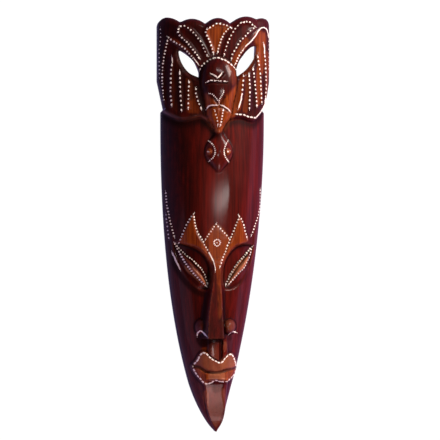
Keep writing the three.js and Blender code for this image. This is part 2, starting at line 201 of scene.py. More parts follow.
def through(*stations):  # a value that runs smoothly through stations, each a place and its value
    places, values = np.array(stations, float).T
    count = len(places)
    before = np.maximum(np.arange(count) - 1, 0)
    after = np.minimum(np.arange(count) + 1, count - 1)
    slopes = (values[after] - values[before]) / (places[after] - places[before])

    def value(p):
        p = np.clip(p, places[0], places[-1])
        i = np.clip(np.searchsorted(places, p, side="right") - 1, 0, count - 2)
        gap = places[i + 1] - places[i]
        t = (p - places[i]) / gap
        rise = values[i + 1] - values[i]
        m0, m1 = slopes[i] * gap, slopes[i + 1] * gap
        return values[i] + t * m0 + t * t * (3 * rise - 2 * m0 - m1) + t**3 * (-2 * rise + m0 + m1)

    return value


def line(points, closed=False):  # a smooth curve through points that may lie unevenly
    points = np.array(points, float)
    count = len(points)
    if closed:
        ring = np.vstack([points[-1:], points, points[:2]])
    else:
        ring = np.vstack([2 * points[:1] - points[1:2], points, 2 * points[-1:] - points[-2:-1]])
    spans = count if closed else count - 1
    steps = count * 5
    out = []
    for step in range(steps + 1):
        place = step / steps * spans
        i = min(int(place), spans - 1)
        t = place - i
        p0, p1, p2, p3 = ring[i : i + 4]
        d0, d1, d2 = [max(np.linalg.norm(b - a) ** 0.5, 1e-4) for a, b in ((p0, p1), (p1, p2), (p2, p3))]
        t1 = ((p1 - p0) / d0 - (p2 - p0) / (d0 + d1) + (p2 - p1) / d1) * d1
        t2 = ((p2 - p1) / d1 - (p3 - p1) / (d1 + d2) + (p3 - p2) / d2) * d1
        bend = -3 * p1 + 3 * p2 - 2 * t1 - t2
        twist = 2 * p1 - 2 * p2 + t1 + t2
        out.append(p1 + t1 * t + bend * t * t + twist * t**3)
    return np.array(out)


def near(path, x, y, reach):
    low, high = path.min(0) - reach, path.max(0) + reach
    return (x > low[0]) & (x < high[0]) & (y > low[1]) & (y < high[1])


def distanceTo(path, x, y, reach=30.0):
    best = np.full(x.shape, 1e3)
    pick = near(path, x, y, reach)
    px, py = x[pick], y[pick]
    nearest = np.full(px.shape, 1e6)
    for (ax, ay), (bx, by) in zip(path[:-1], path[1:]):
        dx, dy = bx - ax, by - ay
        t = clamp(((px - ax) * dx + (py - ay) * dy) / (dx * dx + dy * dy))
        nearest = np.minimum(nearest, (px - ax - t * dx) ** 2 + (py - ay - t * dy) ** 2)
    best[pick] = np.sqrt(nearest)
    return best


def depthInside(path, x, y, reach=30.0):  # distance to the outline, and less than zero outside it
    inside = np.zeros(x.shape, bool)
    for (ax, ay), (bx, by) in zip(path[:-1], path[1:]):
        if ay == by:
            continue
        crosses = (ay > y) != (by > y)
        inside ^= crosses & (x < ax + (y - ay) / (by - ay) * (bx - ax))
    away = distanceTo(path, x, y, reach)
    return np.where(inside, away, -away)


def deepest(paths, x, y):
    return np.max([depthInside(path, x, y) for path in paths], axis=0)


def bodyHalfWidth(y):
    t = clamp((carving["shoulder"] - y) / (carving["shoulder"] + halfLength))
    taper = (1 - t * t) ** carving["taperPower"]
    return np.maximum(carving["tipHalfWidth"], carving["bodyHalfWidth"] * taper)


def crestHalfWidth(y):
    taper = clamp((carving["crestTaperTop"] - y) / (carving["crestTaperTop"] - carving["crestFoot"]))
    corner = np.maximum(0, y - halfLength + carving["crestCorner"]) / carving["crestCorner"]
    straight = mix(carving["crestHalfWidth"], carving["crestFootHalfWidth"], taper)
    return straight - carving["crestCorner"] * (1 - halfRound(corner))


def halfWidth(y):
    step = carving["crestFootStep"]
    return mix(bodyHalfWidth(y), crestHalfWidth(y), ease((y - carving["crestFoot"] + step) / step))


def middle(y):
    toTip = clamp((carving["tipStart"] - y) / (carving["tipStart"] + halfLength))
    toCheek = ease((carving["bodyDriftTop"] - y) / carving["bodyDriftRun"])
    return carving["tipDrift"] * toTip ** carving["tipDriftPower"] - carving["bodyDrift"] * toCheek


def crestTop(x):
    return np.max([top - curve * (x - at) ** 2 for at, top, curve in carving["lobes"]], axis=0)


# where the crest's lower edge runs across the board
ledge = through((-66, 141), (-60.9, 135), (-56.3, 131.5), (-51.5, 128.8), (-46.3, 126.4), (-40.4, 125.6),
                (-34.8, 126), (-27.9, 127.6), (-20.9, 129.2), (-15, 126.6), (-9.9, 122), (-6.3, 116.5),
                (-2, 112), (4, 113), (9.3, 122), (16.3, 126.8), (23.8, 128.6), (31.4, 128.6), (40.3, 125.8),
                (46.9, 125.8), (53.5, 131.5), (60, 141.5), (63, 148), (70, 152))

# height of the face along its middle
bodyDepth = through((-250, 13), (-228, 21), (-190, 30), (-145, 37.5), (-60, 44.6), (0, 46.6), (33, 47),
                    (66, 46.2), (100, 44.2), (140, 41.5))


def section(x, y, half, side, depth, power):
    t = clamp(np.abs(x - middle(y)) / half)
    return side + (depth - side) * (1 - t ** carving["sectionPower"]) ** power


def crestSurface(x, y):
    half = carving["crestHalfWidth"] + carving["crestSpare"]
    plain = section(x, y, half, carving["crestSide"], carving["crestDepth"], carving["crestPower"])
    toTop = clamp((crestTop(x) - y) / carving["crestRoll"])
    return plain - carving["crestRollDrop"] * (1 - halfRound(1 - toTop))


wingEdges = [
    line([(-57, 223), (-48.5, 217.5), (-39.5, 210.5), (-30.5, 200), (-24, 190)]),
    line([(59, 237), (48, 230), (31.5, 209), (22, 192.5)]),
]
wingSides = [
    line([(-57, 223), (-61.5, 213), (-64, 194.5), (-64, 173), (-62.5, 149)]),
    line([(59, 237), (64.5, 230), (66, 211), (66, 186)]),
]
quills = [
    line([(-52.5, 200.5), (-54.5, 178.5), (-53.5, 143)]),
    line([(-44.5, 181), (-44, 163), (-42.5, 137)]),
    line([(-34, 169.5), (-34.5, 154.5), (-34.5, 139.5)]),
    line([(-26, 160), (-24, 149.5), (-19.5, 138.5)]),
    line([(32, 177.5), (31, 164.5), (26, 140)]),
    line([(39, 178), (40, 162.5), (39.5, 139.5)]),
    line([(45, 186), (47, 170.5), (49, 143)]),
    line([(51, 202), (54, 181), (56, 147.5)]),
    line([(58.5, 216.5), (61.5, 191), (61.5, 154.5)]),
]
feathers = [
    line([(-22.5, 198), (-31, 211), (-45.5, 228.5), (-47, 234), (-41.5, 237), (-30, 230), (-18, 215),
          (-11, 201)]),
    line([(-5, 205), (-9, 215), (-13.5, 228), (-12, 234), (1, 240), (15.5, 235), (8, 227.5), (0, 205)]),
    line([(8, 203.5), (11.5, 216.5), (22, 234.5), (35.5, 243.5), (48, 237), (36.5, 227.5), (22, 209.5),
          (17, 197.5)]),
]
crestRidges = [*wingEdges, *wingSides, *quills, *feathers]
holes = [
    line([(-44.8, 206.8), (-42, 206.6), (-38.2, 205.1), (-33.6, 201), (-28.6, 195.6), (-24.9, 190.2),
          (-22.1, 184.6), (-21.4, 180.8), (-22, 175.8), (-26.3, 177.2), (-31.1, 179.4), (-34.4, 182),
          (-39.2, 188), (-42.4, 194.2), (-44.4, 200.5)], True),
    line([(48, 213.6), (43, 213.1), (39.3, 210.5), (35.2, 206.6), (31.2, 201.5), (27.8, 197), (25.2, 191.8),
          (23.8, 186.8), (23.4, 180.2), (24.4, 177.7), (30.4, 181.3), (35.9, 185.8), (41.2, 192.4),
          (45.2, 199), (47, 205.2), (48.1, 210.9)], True),
]


def crestRelief(x, y):  # flutes between the ridges, and a slope down to each hole
    closest = np.min([distanceTo(ridge, x, y) for ridge in crestRidges], axis=0)
    flute = carving["fluteDepth"] * (1 - (1 - clamp(closest / carving["fluteReach"])) ** 2)
    slope = carving["holeSlopeDrop"] * ease(1 + deepest(holes, x, y) / carving["holeSlope"])
    return -flute - slope


birdHalfWidth = through((61.5, 0.5), (64, 2.5), (71, 8.4), (77, 13.5), (84, 16.5), (91, 16.2), (98, 13),
                        (104, 7.8), (109, 5.6), (114, 5.6), (119, 8), (125, 12.5), (131, 15), (140, 16.5),
                        (148, 18), (158, 20.6), (170, 22.3), (181, 21.5), (189, 18), (195, 12.5), (199, 6),
                        (200.5, 1))
birdCrown = through((61.5, 45.5), (67, 48.5), (76, 51.5), (88, 53), (100, 51.5), (112, 50.5), (126, 54),
                    (145, 57), (170, 58.5), (188, 56), (197, 52), (201, 48))
birdGrooves = [
    line([(-9.5, 177.3), (-1.9, 173), (4.6, 178.6)]),
    line([(-14, 167.6), (-7.7, 168.8), (0.6, 168.5), (8.9, 168.2)]),
    line([(-4.9, 149.1), (-0.4, 141.9)]),
    line([(6.6, 151), (1.8, 143.2)]),
    line([(-12, 138.8), (-8, 139.4), (-1, 139.9), (5, 138.9), (11, 135.4)]),
]
birdEyes = [(-9.9, 87), (12.4, 87)]


def bird(x, y, ground):
    squareness, fullness = carving["birdPowers"]
    t = np.abs(x - carving["birdX"]) / birdHalfWidth(y)
    on = (y >= carving["birdFoot"]) & (y <= carving["birdTop"]) & (t < 1)
    groove = np.min([distanceTo(path, x, y) for path in birdGrooves], axis=0)
    cut = carving["grooveDepth"] * halfRound(clamp(groove / carving["grooveWidth"]))
    eye = np.min([np.hypot(x - ex, y - ey) for ex, ey in birdEyes], axis=0)
    ringCut = carving["birdEyeRingDepth"] * ease(2 - eye / carving["birdEyeRing"])
    ball = carving["birdEyeRise"] * halfRound(clamp(eye / carving["birdEyeRadius"]))
    detail = (-ringCut + ball - cut) * ease((1 - t) / carving["birdFade"])
    crown = np.maximum(ground, birdCrown(y))
    raised = ground + (crown - ground) * (1 - clamp(t) ** squareness) ** fullness + detail
    return np.where(on, raised, ground)


brows = [
    line([(-28.5, 13), (-24.5, -7), (-14, -26.5), (-3.5, -50), (-10, -40.5), (-24, -27.5), (-44.5, -21.5),
          (-39, -6)], True),
    line([(27, 10), (34.5, -6.5), (39.5, -19.5), (20.5, -26.5), (9.5, -39.5), (3, -50), (11.3, -27.6),
          (19, -10)], True),
    line([(-1.8, 1), (6, -7), (14, -16), (9.5, -32), (3, -50), (-3.5, -50), (-11, -32), (-14, -17),
          (-8.5, -7)], True),
]
sockets = [
    line([(-50, -20.5), (-32, -24), (-16, -33.5), (-7, -50), (-8.5, -77), (-22.5, -77), (-41, -54),
          (-50.5, -32)], True),
    line([(46.5, -24), (28, -23), (14.5, -32.5), (6.5, -50), (8.5, -77), (25, -75.5), (39.5, -57),
          (47.5, -35)], True),
]
upperLids = [
    line([(-48.3, -22.6), (-42, -30), (-35.4, -36.5), (-28, -42.2), (-22.9, -47.5), (-17.9, -52.7),
          (-14.5, -58.5), (-11.9, -65.8), (-11.2, -70), (-11.2, -73.5)]),
    line([(45.5, -26.5), (37, -35.4), (30.6, -42), (25.5, -47.2), (20.9, -54), (17, -60.8), (13.6, -67.6),
          (11.6, -73.6)]),
]
lowerLids = [
    line([(-48.3, -22.6), (-42, -36.5), (-38.3, -44), (-33.6, -51), (-28.8, -57), (-23.6, -62.7),
          (-17.6, -68.8), (-11.2, -73.5)]),
    line([(45.5, -26.5), (42, -37), (38.4, -43.7), (33.7, -51.8), (27.7, -56.9), (20.8, -64.3),
          (14.9, -70.5), (11.6, -73.6)]),
]
leaves = [
    line([(-58.6, 38), (-57, 21), (-49.6, -13), (-48.5, -26), (-43, -53), (-51, -36), (-54.5, -18),
          (-58.6, 10)], True),
    line([(56.5, 40), (55.3, 18), (47, -4), (45.5, -27), (41, -52), (49, -36), (51.5, -16),
          (56.5, 10)], True),
]


def eyeRelief(x, y):
    relief = np.zeros(x.shape)
    for upper, lower, socket in zip(upperLids, lowerLids, sockets):
        inSocket = depthInside(socket, x, y)
        inEye = depthInside(np.vstack([upper, lower[::-1]]), x, y)
        toUpper, toLower = distanceTo(upper, x, y), distanceTo(lower, x, y)
        width = toUpper + toLower
        share = toUpper / np.maximum(width, 1e-3)
        upward = ease((toLower - toUpper + carving["lidTurn"]) / (2 * carving["lidTurn"]))
        edge = ease(inSocket / carving["socketSlope"])
        hollow = carving["socketDepth"] * edge * mix(carving["socketLowShare"], 1, upward)
        under = carving["socketBrowDepth"] * edge * upward
        ball = carving["lidRise"] * halfRound(2 * share - 1) * ease(width / carving["lidCorner"])
        offSlit = (share - carving["slitPlace"]) / carving["slitWidth"]
        slit = carving["slitDepth"] * np.exp(-(offSlit**2)) * ease(width / carving["slitCorner"])
        relief += np.where(inSocket > 0, np.where(inEye > 0, ball - slit, 0) - hollow - under, 0)
    return relief


noseHalfWidth = through((-137, 9.5), (-112, 8.6), (-89, 6.7), (-68, 4.6), (-40, 3.8))
noseMiddle = through((-137, -5), (-103, -4), (-75, -2), (-45, 0))
noseCrown = through((-137, 66), (-112, 61.2), (-89, 56.8), (-66, 52.4), (-45, 48.4), (-36, 45))


def nose(x, y, ground):
    off = np.abs(x - noseMiddle(y)) - noseHalfWidth(y)
    flank = (1 - clamp(off / carving["noseFlank"])) ** carving["noseFlankPower"]
    foot = ease((y - carving["noseFoot"] + carving["noseFootRound"]) / carving["noseFootRound"])
    ends = foot * ease((carving["noseTop"] - y) / carving["noseTopRun"])
    return ground + np.maximum(0, noseCrown(y) - ground) * flank * ends


# middle, half width and half length of each nostril, and of the dimple beside them, with its depth
nostrilBulbs = [(-18.6, -121.6, 7.6, 9.6), (15.8, -121.8, 8.6, 9.2)]
dimple = (-16.2, -139.5, 5.6, 6.4, 5.5)


def nostrils(x, y):
    squareness, fullness = carving["nostrilPowers"]
    rounds = []
    for bulbX, bulbY, wide, long in nostrilBulbs:
        away = clamp(np.hypot((x - bulbX) / wide, (y - bulbY) / long))
        rounds.append((1 - away**squareness) ** fullness)
    dimpleX, dimpleY, wide, long, depth = dimple
    dip = depth * halfRound(clamp(np.hypot((x - dimpleX) / wide, (y - dimpleY) / long)))
    return carving["nostrilRise"] * np.max(rounds, axis=0) - dip


upperLip = [(-27.6, -169.7), (-25.9, -166.5), (-22.6, -161.7), (-20, -155.5), (-16.4, -152.2),
            (-13.1, -153.6), (-10.4, -156.4), (-7.2, -159.2), (-2.4, -162.1), (3.3, -164.7), (7.2, -162.8),
            (11.4, -157.9), (15.1, -155.3), (18.4, -155.5), (21.2, -158.6), (23.6, -163.4), (26, -169),
            (27.2, -173)]
lowerLip = [(27.2, -173), (25.1, -178.5), (21.5, -182.6), (16.5, -186.2), (12, -187.9), (4, -187.2),
            (-1.5, -186), (-5.6, -188.9), (-9.8, -190.2), (-13.6, -189.6), (-16.6, -186.8), (-19.8, -182.9),
            (-22.5, -179.4), (-25.5, -174.6), (-27.6, -169.7)]
lips = line([*upperLip, *lowerLip[1:-1]], True)
mouth = line([(-26.5, -169), (-20.9, -169.8), (-13.3, -174.8), (-9.9, -176), (3.6, -176.3), (9.4, -174.6),
              (26, -172.6)])
philtrumGroove = line([(5, -139), (4.5, -162)])
chinFront = through((-250, 13.6), (-240, 17.6), (-230, 21), (-215, 26.2), (-200, 31.4), (-187, 36),
                    (-181, 46))
chinHalfWidth = through((-249, 2), (-232, 7.5), (-217, 10.2), (-192, 12.4))


def muzzle(x, y):
    atX, atY = carving["muzzleMiddle"]
    wide, long = carving["muzzleHalfSize"]
    away = np.hypot((x - atX) / wide, (y - atY) / long)
    return carving["muzzleRise"] * ease(carving["muzzleReach"] - away)


def mouthRelief(x, y):
    inside = depthInside(lips, x, y)
    lipLine = carving["lipLineDepth"] * halfRound(clamp(distanceTo(mouth, x, y) / carving["lipLineWidth"]))
    lip = carving["lipRise"] * ease((inside + carving["lipSkirt"]) / carving["lipSlope"])
    lip = lip - lipLine * (inside > 0)
    clearOfLip = 1 - ease((inside + carving["ridgeLipGap"]) / carving["ridgeLipSlope"])
    above = ease((carving["ridgeTop"] - y) / carving["ridgeTopRun"]) * clearOfLip
    above = above * ease((y - carving["ridgeFoot"]) / carving["ridgeSlope"])
    across = ease((carving["ridgeHalfWidth"] - np.abs(x - carving["ridgeX"])) / carving["ridgeSlope"])
    rise = mix(*carving["ridgeRise"], clamp((carving["ridgeRiseTop"] - y) / carving["ridgeRiseRun"]))
    toGroove = distanceTo(philtrumGroove, x, y) / carving["ridgeGrooveWidth"]
    groove = carving["ridgeGrooveDepth"] * halfRound(clamp(toGroove))
    return lip + np.maximum(-carving["ridgeDeepest"], above * (rise * across - groove))


def chinRelief(x, y):
    off = np.abs(x - middle(y) - carving["chinX"]) - chinHalfWidth(y)
    rise = mix(*carving["chinRise"], ease((carving["chinRiseTop"] - y) / carving["chinRiseRun"]))
    top = ease((carving["chinTop"] - y) / carving["chinTopRun"])
    tip = ease((y + halfLength) / carving["chinTipRun"])
    return rise * (1 - ease(off / carving["chinSlope"])) * top * tip


def face(x, y):
    z = section(x, y, halfWidth(y), carving["bodySide"], bodyDepth(y), carving["bodyPower"])
    brow = carving["browRise"] * ease(deepest(brows, x, y) / carving["browSlope"])
    leaf = carving["leafRise"] * ease(deepest(leaves, x, y) / carving["leafSlope"])
    z = z + brow + leaf + eyeRelief(x, y)
    z = z + muzzle(x, y) + mouthRelief(x, y) + chinRelief(x, y)
    z = softLower(z, chinFront(y), carving["chinCrease"])
    return np.maximum(nose(x, y, z), z + nostrils(x, y))


def surface(x, y):
    step = ease((y - ledge(x) + carving["bevel"] / 2) / carving["bevel"])
    ground = mix(face(x, y), crestSurface(x, y) + crestRelief(x, y), step)
    return bird(x, y, ground)


# The paint and the stain, in millimetres where they are sizes.
painting = {
    "marks": {  # pitch along the line, radius of the brush tip, and half the straight part of a stroke
        "quill": (5.1, 0.94, 0.15),
        "close": (3.9, 0.92, 0.0),
        "sparse": (4.6, 0.9, 0.0),
        "fine": (3.7, 0.86, 0.0),
        "ring": (2.3, 0.74, 0.0),
        "faint": (5.0, 0.55, 0.2),
        "lid": (3.4, 0.96, 0.0),
        "dash": (4.4, 0.8, 0.95),
        "stroke": (4.0, 0.72, 2.0),
        "thin": (4.0, 0.4, 1.8),
    },
    "shift": 0.1,             # how far a mark strays along its line, as a share of the pitch
    "sideStep": 0.25,         # and to the side
    "fill": (0.82, 1.12),     # smallest and largest mark, as a share of the radius
    "ragged": 0.18,
    "softEdge": 0.1,
    "reach": 3.2,             # a face farther than this from a line takes no paint
    "spotRoom": 20.0,         # a single spot has this much room to itself
    "frontNormal": 0.15,      # painted faces are turned up more than this
    "frontHeight": 6.0,
    "backNormal": -0.12,      # faces turned down more than this are the plain wood behind
    "frontGap": 0.4,          # points nearer than this to the carved surface are on the front
    "smallCut": (1.8, 0.9),   # how far round a point the wood is looked at, and the depth that is fully darkened by pooled stain and painted shade
    "wideCut": (5.0, 4.0),
    "wideCutShare": 0.5,
    "ledgeShadow": (2.0, 2.0, 5.0, 9.0, 0.9),  # painted shadow below the ledge: start, rise, end and fall of it, share
    "edgeWear": 0.1,
    "ledgeSheen": (2.2, 6.0, 10.0, 0.34),     # painted sheen along the crest's lower edge: width, x where it ends, softness of that end, share
    "faceShadeEdge": -2.0,    # painted shade: the left side is darker than the right, with a wide soft change
    "crestShadeEdge": 26.0,
    "shadeSoftness": 42.0,
    "chinShade": (-100.0, 120.0, 0.5),       # y of the weakest shade, length of the change, share left
    # the whole crest is darker, for its darker stain, kept with the painted shade
    "crestShade": 0.68,
}
paintLines = [
    # left wing
    ("close", [(-56.9, 223.2), (-52.9, 219.6), (-47.3, 215.9), (-39.7, 210.4), (-32.2, 202.1),
               (-28.2, 198.1)]),
    ("thin", [(-28.2, 198.1), (-25.4, 194.3), (-23.3, 191.5)]),
    ("close", [(-56.9, 223.2), (-58.4, 218.9), (-59.8, 210.9), (-62, 200.1), (-63.4, 188.3), (-64, 174),
               (-62.5, 149)]),
    ("faint", [(-65.5, 234), (-65.7, 220.3), (-66.7, 211.7), (-66.8, 195), (-66.6, 176)]),
    ("stroke", [(-53.2, 198.7), (-52.9, 194.3)]),
    ("quill", [(-53.5, 190.5), (-54.4, 181.6), (-54.8, 172), (-55, 158.5), (-53.5, 143)]),
    ("quill", [(-44.4, 180), (-44, 163), (-42.5, 137)]),
    ("stroke", [(-44.5, 182), (-44.3, 178)]),
    ("quill", [(-34, 169.5), (-34.5, 154.5), (-34.5, 139.5)]),
    ("quill", [(-25.7, 161.4), (-25.8, 156), (-24.6, 150.7), (-23.4, 146.5), (-21.7, 143), (-19.9, 138.8)]),
    # right wing
    ("stroke", [(34.8, 213.3), (40, 218.3), (44.8, 223.2), (48.2, 227.5), (50.9, 232), (54.5, 235.8),
                (58.9, 237.4), (62.5, 236.3), (64.8, 232.8), (66, 226.6)]),
    ("close", [(30.8, 208.1), (27.9, 204), (25.3, 199.5), (23.6, 195.7), (22, 192.5)]),
    ("faint", [(66.2, 222), (66.4, 211), (66.4, 188)]),
    ("stroke", [(58.9, 216.9), (59.6, 213.2), (59.9, 206)]),
    ("quill", [(60.2, 203), (61.1, 196), (61.5, 187.6), (62.5, 169.5), (61.5, 154.5)]),
    ("quill", [(50.6, 201.3), (51.6, 196.3), (53, 187), (54.4, 174.5), (55, 162), (56, 147.5)]),
    ("quill", [(44.3, 186.2), (46, 175.9), (48, 157), (49, 143)]),
    ("quill", [(39, 178), (40, 162.5), (39.5, 139.5)]),
    ("quill", [(32, 177.5), (31, 164.5), (30, 156)]),
    ("stroke", [(30, 156), (28.5, 148.5), (26, 140)]),
    # fan tail
    ("close", [(-22.3, 198.8), (-27.1, 205.3), (-31.5, 210.7), (-35.4, 216.3), (-42.6, 223), (-46.4, 229.3),
               (-45.8, 233)]),
    ("sparse", [(-43.4, 236.4), (-40.3, 236.8), (-37.4, 235.9), (-30.6, 230.4), (-24.8, 223.7),
                (-19.1, 215.9), (-15.4, 206.7), (-12.9, 202)]),
    ("close", [(-5.6, 205.4), (-7.2, 210.2), (-9.6, 218.5), (-13, 225.6), (-14, 229.2), (-12.9, 232.5)]),
    ("sparse", [(-9.2, 234.4), (-6.1, 236.3), (-2.7, 238.8), (1.4, 239.6), (5.5, 238.7), (9.2, 237.8),
                (15.6, 235.1)]),
    ("close", [(12.7, 232.9), (7.5, 227.1), (3.8, 219.1), (1.2, 210.4), (0.3, 206.1)]),
    ("sparse", [(8.2, 203.2), (8.4, 205.6), (10, 209.6), (12.8, 218.6), (16.8, 226.4), (22, 234.8),
                (28.5, 240.7)]),
    ("close", [(32.4, 242.1), (36.2, 242.9), (39.4, 242.6), (42, 240.6), (46.4, 238)]),
    ("sparse", [(44.8, 235.4), (41.2, 232.6), (36.9, 228.2), (32.6, 223.8), (28, 219.4), (22, 209.8),
                (18, 202.8), (16.8, 198.5)]),
    # rump of the bird
    ("fine", [(-20.3, 185.6), (-18.4, 189.3), (-15.6, 191.8), (-9.9, 195.9), (-5.4, 197.9)]),
    ("dash", [(-4, 198.4), (1, 198.4), (4.7, 196.9), (9.4, 194.9), (14.9, 191.5), (21.7, 186.2),
              (23.5, 185.4)]),
    # lower edge of the crest
    ("stroke", [(62, 153), (60, 144), (53.5, 134), (47.5, 128)]),
    ("dash", [(46.9, 128.4), (40.3, 128.8), (36, 130), (31.4, 131.6), (23.8, 131.9)]),
    # the bird
    ("stroke", [(-8.2, 178.6), (-6.2, 177.6), (-2.3, 174.9)]),
    ("stroke", [(3.2, 179.3), (1.2, 176.8), (-0.8, 174.6)]),
    ("dash", [(-13, 169.6), (-10.8, 170.9), (-7.7, 170.9), (-4.6, 170.7)]),
    ("dash", [(1.6, 170.4), (5, 170.3), (7.4, 170)]),
    ("ring", [(-9.8, 155.3), (-7.5, 154.8), (-5.1, 152.3), (-2.7, 149.5), (-0.3, 145.5)]),
    ("ring", [(5.5, 156.8), (4.8, 154.9), (2.8, 152.5), (0.3, 147.5)]),
    ("stroke", [(-12.9, 138.4), (-11.7, 140.7), (-8.6, 141.5), (-2.4, 141.8)]),
    ("stroke", [(3.3, 141.6), (6.8, 140.3), (11.6, 137.4), (13.8, 135.4)]),
    ("fine", [(-4.3, 134.1), (-3.3, 130.7), (-1.7, 127.4), (-0.5, 119.4)]),
    ("fine", [(5.1, 135.6), (4.8, 130.8), (4.2, 126), (2.8, 118.9)]),
    ("ring", [(-9, 98.3), (-5, 93.2), (-3.7, 86.9), (-5.2, 81), (-9.6, 76.4)]),
    ("ring", [(11.9, 99), (8.4, 93.4), (7.2, 87), (8.4, 81), (12.1, 76.5)]),
    ("lid", [(-10.1, 86.9), (-9.7, 86.9)]),
    ("lid", [(12.2, 87.1), (12.6, 87.1)]),
    # brows and the leaf between them
    ("fine", [(-28.5, 12.9), (-34.7, 3.3), (-39.1, -6.2), (-42.3, -15.7), (-44.4, -21.7)]),
    ("fine", [(-28.5, 12.9), (-24.5, -6.8), (-18.7, -16.9), (-14, -26.4), (-10, -33)]),
    ("stroke", [(-10, -33), (-8, -37.1), (-5, -43)]),
    ("thin", [(-5, -43), (-3.3, -50.1), (-3.2, -54)]),
    ("fine", [(-1.8, 0.7), (-8, -8), (-14, -16.9)]),
    ("fine", [(-1.8, 0.7), (6, -7), (13.8, -15.7)]),
    ("ring", [(3.6, -21.3), (2.4, -18.5), (-0.3, -17.4), (-3, -18.5), (-4.2, -21.3), (-3, -24.1),
              (-0.3, -25.2), (2.4, -24.1), (3.6, -21.3)]),
    ("ring", [(-0.5, -21.3), (-0.1, -21.3)]),
    ("fine", [(27.1, 9.9), (31.7, 3.3), (34.4, -6.2), (36.7, -14.6)]),
    ("fine", [(27.1, 9.9), (18.8, -9.8), (11.3, -27.6), (7.7, -37.1), (2.8, -49)]),
    # eyelids
    ("lid", [(-48.3, -22.6), (-42, -30), (-35.4, -36.5), (-28, -42.2), (-22.9, -47.5), (-17.9, -52.7),
             (-14.5, -58.5), (-11.9, -65.8), (-11.3, -69.2)]),
    ("lid", [(-48.3, -22.6), (-42, -36.5), (-38.3, -44), (-33.6, -51), (-28.8, -57), (-23.6, -62.7),
             (-17.6, -68.8), (-13.5, -72.2)]),
    ("lid", [(45.5, -26.5), (37, -35.4), (30.6, -42), (25.5, -47.2), (20.9, -54), (17, -60.8),
             (13.6, -67.6), (11.8, -70.9)]),
    ("lid", [(45.5, -26.5), (42, -37), (38.4, -43.7), (33.7, -51.8), (27.7, -56.9), (20.8, -64.3),
             (14.9, -70.5)]),
    # beside the brows
    ("fine", [(-58.6, 38.2), (-57, 21.3), (-52.8, -0.3), (-49.6, -13.4)]),
    ("stroke", [(-51.1, -33.5), (-47.5, -43), (-43.1, -52.8)]),
    ("faint", [(-58.2, 11.7), (-55, -15.9)]),
    ("fine", [(56.5, 42), (55.7, 17.8), (48.4, -1.5), (44, -12.3)]),
    # nostrils
    ("stroke", [(-22.9, -131.5), (-22.6, -128.5), (-20.5, -126.4), (-17.5, -127.8), (-15.6, -131)]),
    ("thin", [(15.2, -131), (17.1, -128.8)]),
    ("stroke", [(19.4, -127.9), (22, -127.9), (24.2, -128.8)]),
    # lips
    ("dash", upperLip),
    ("dash", lowerLip),
]
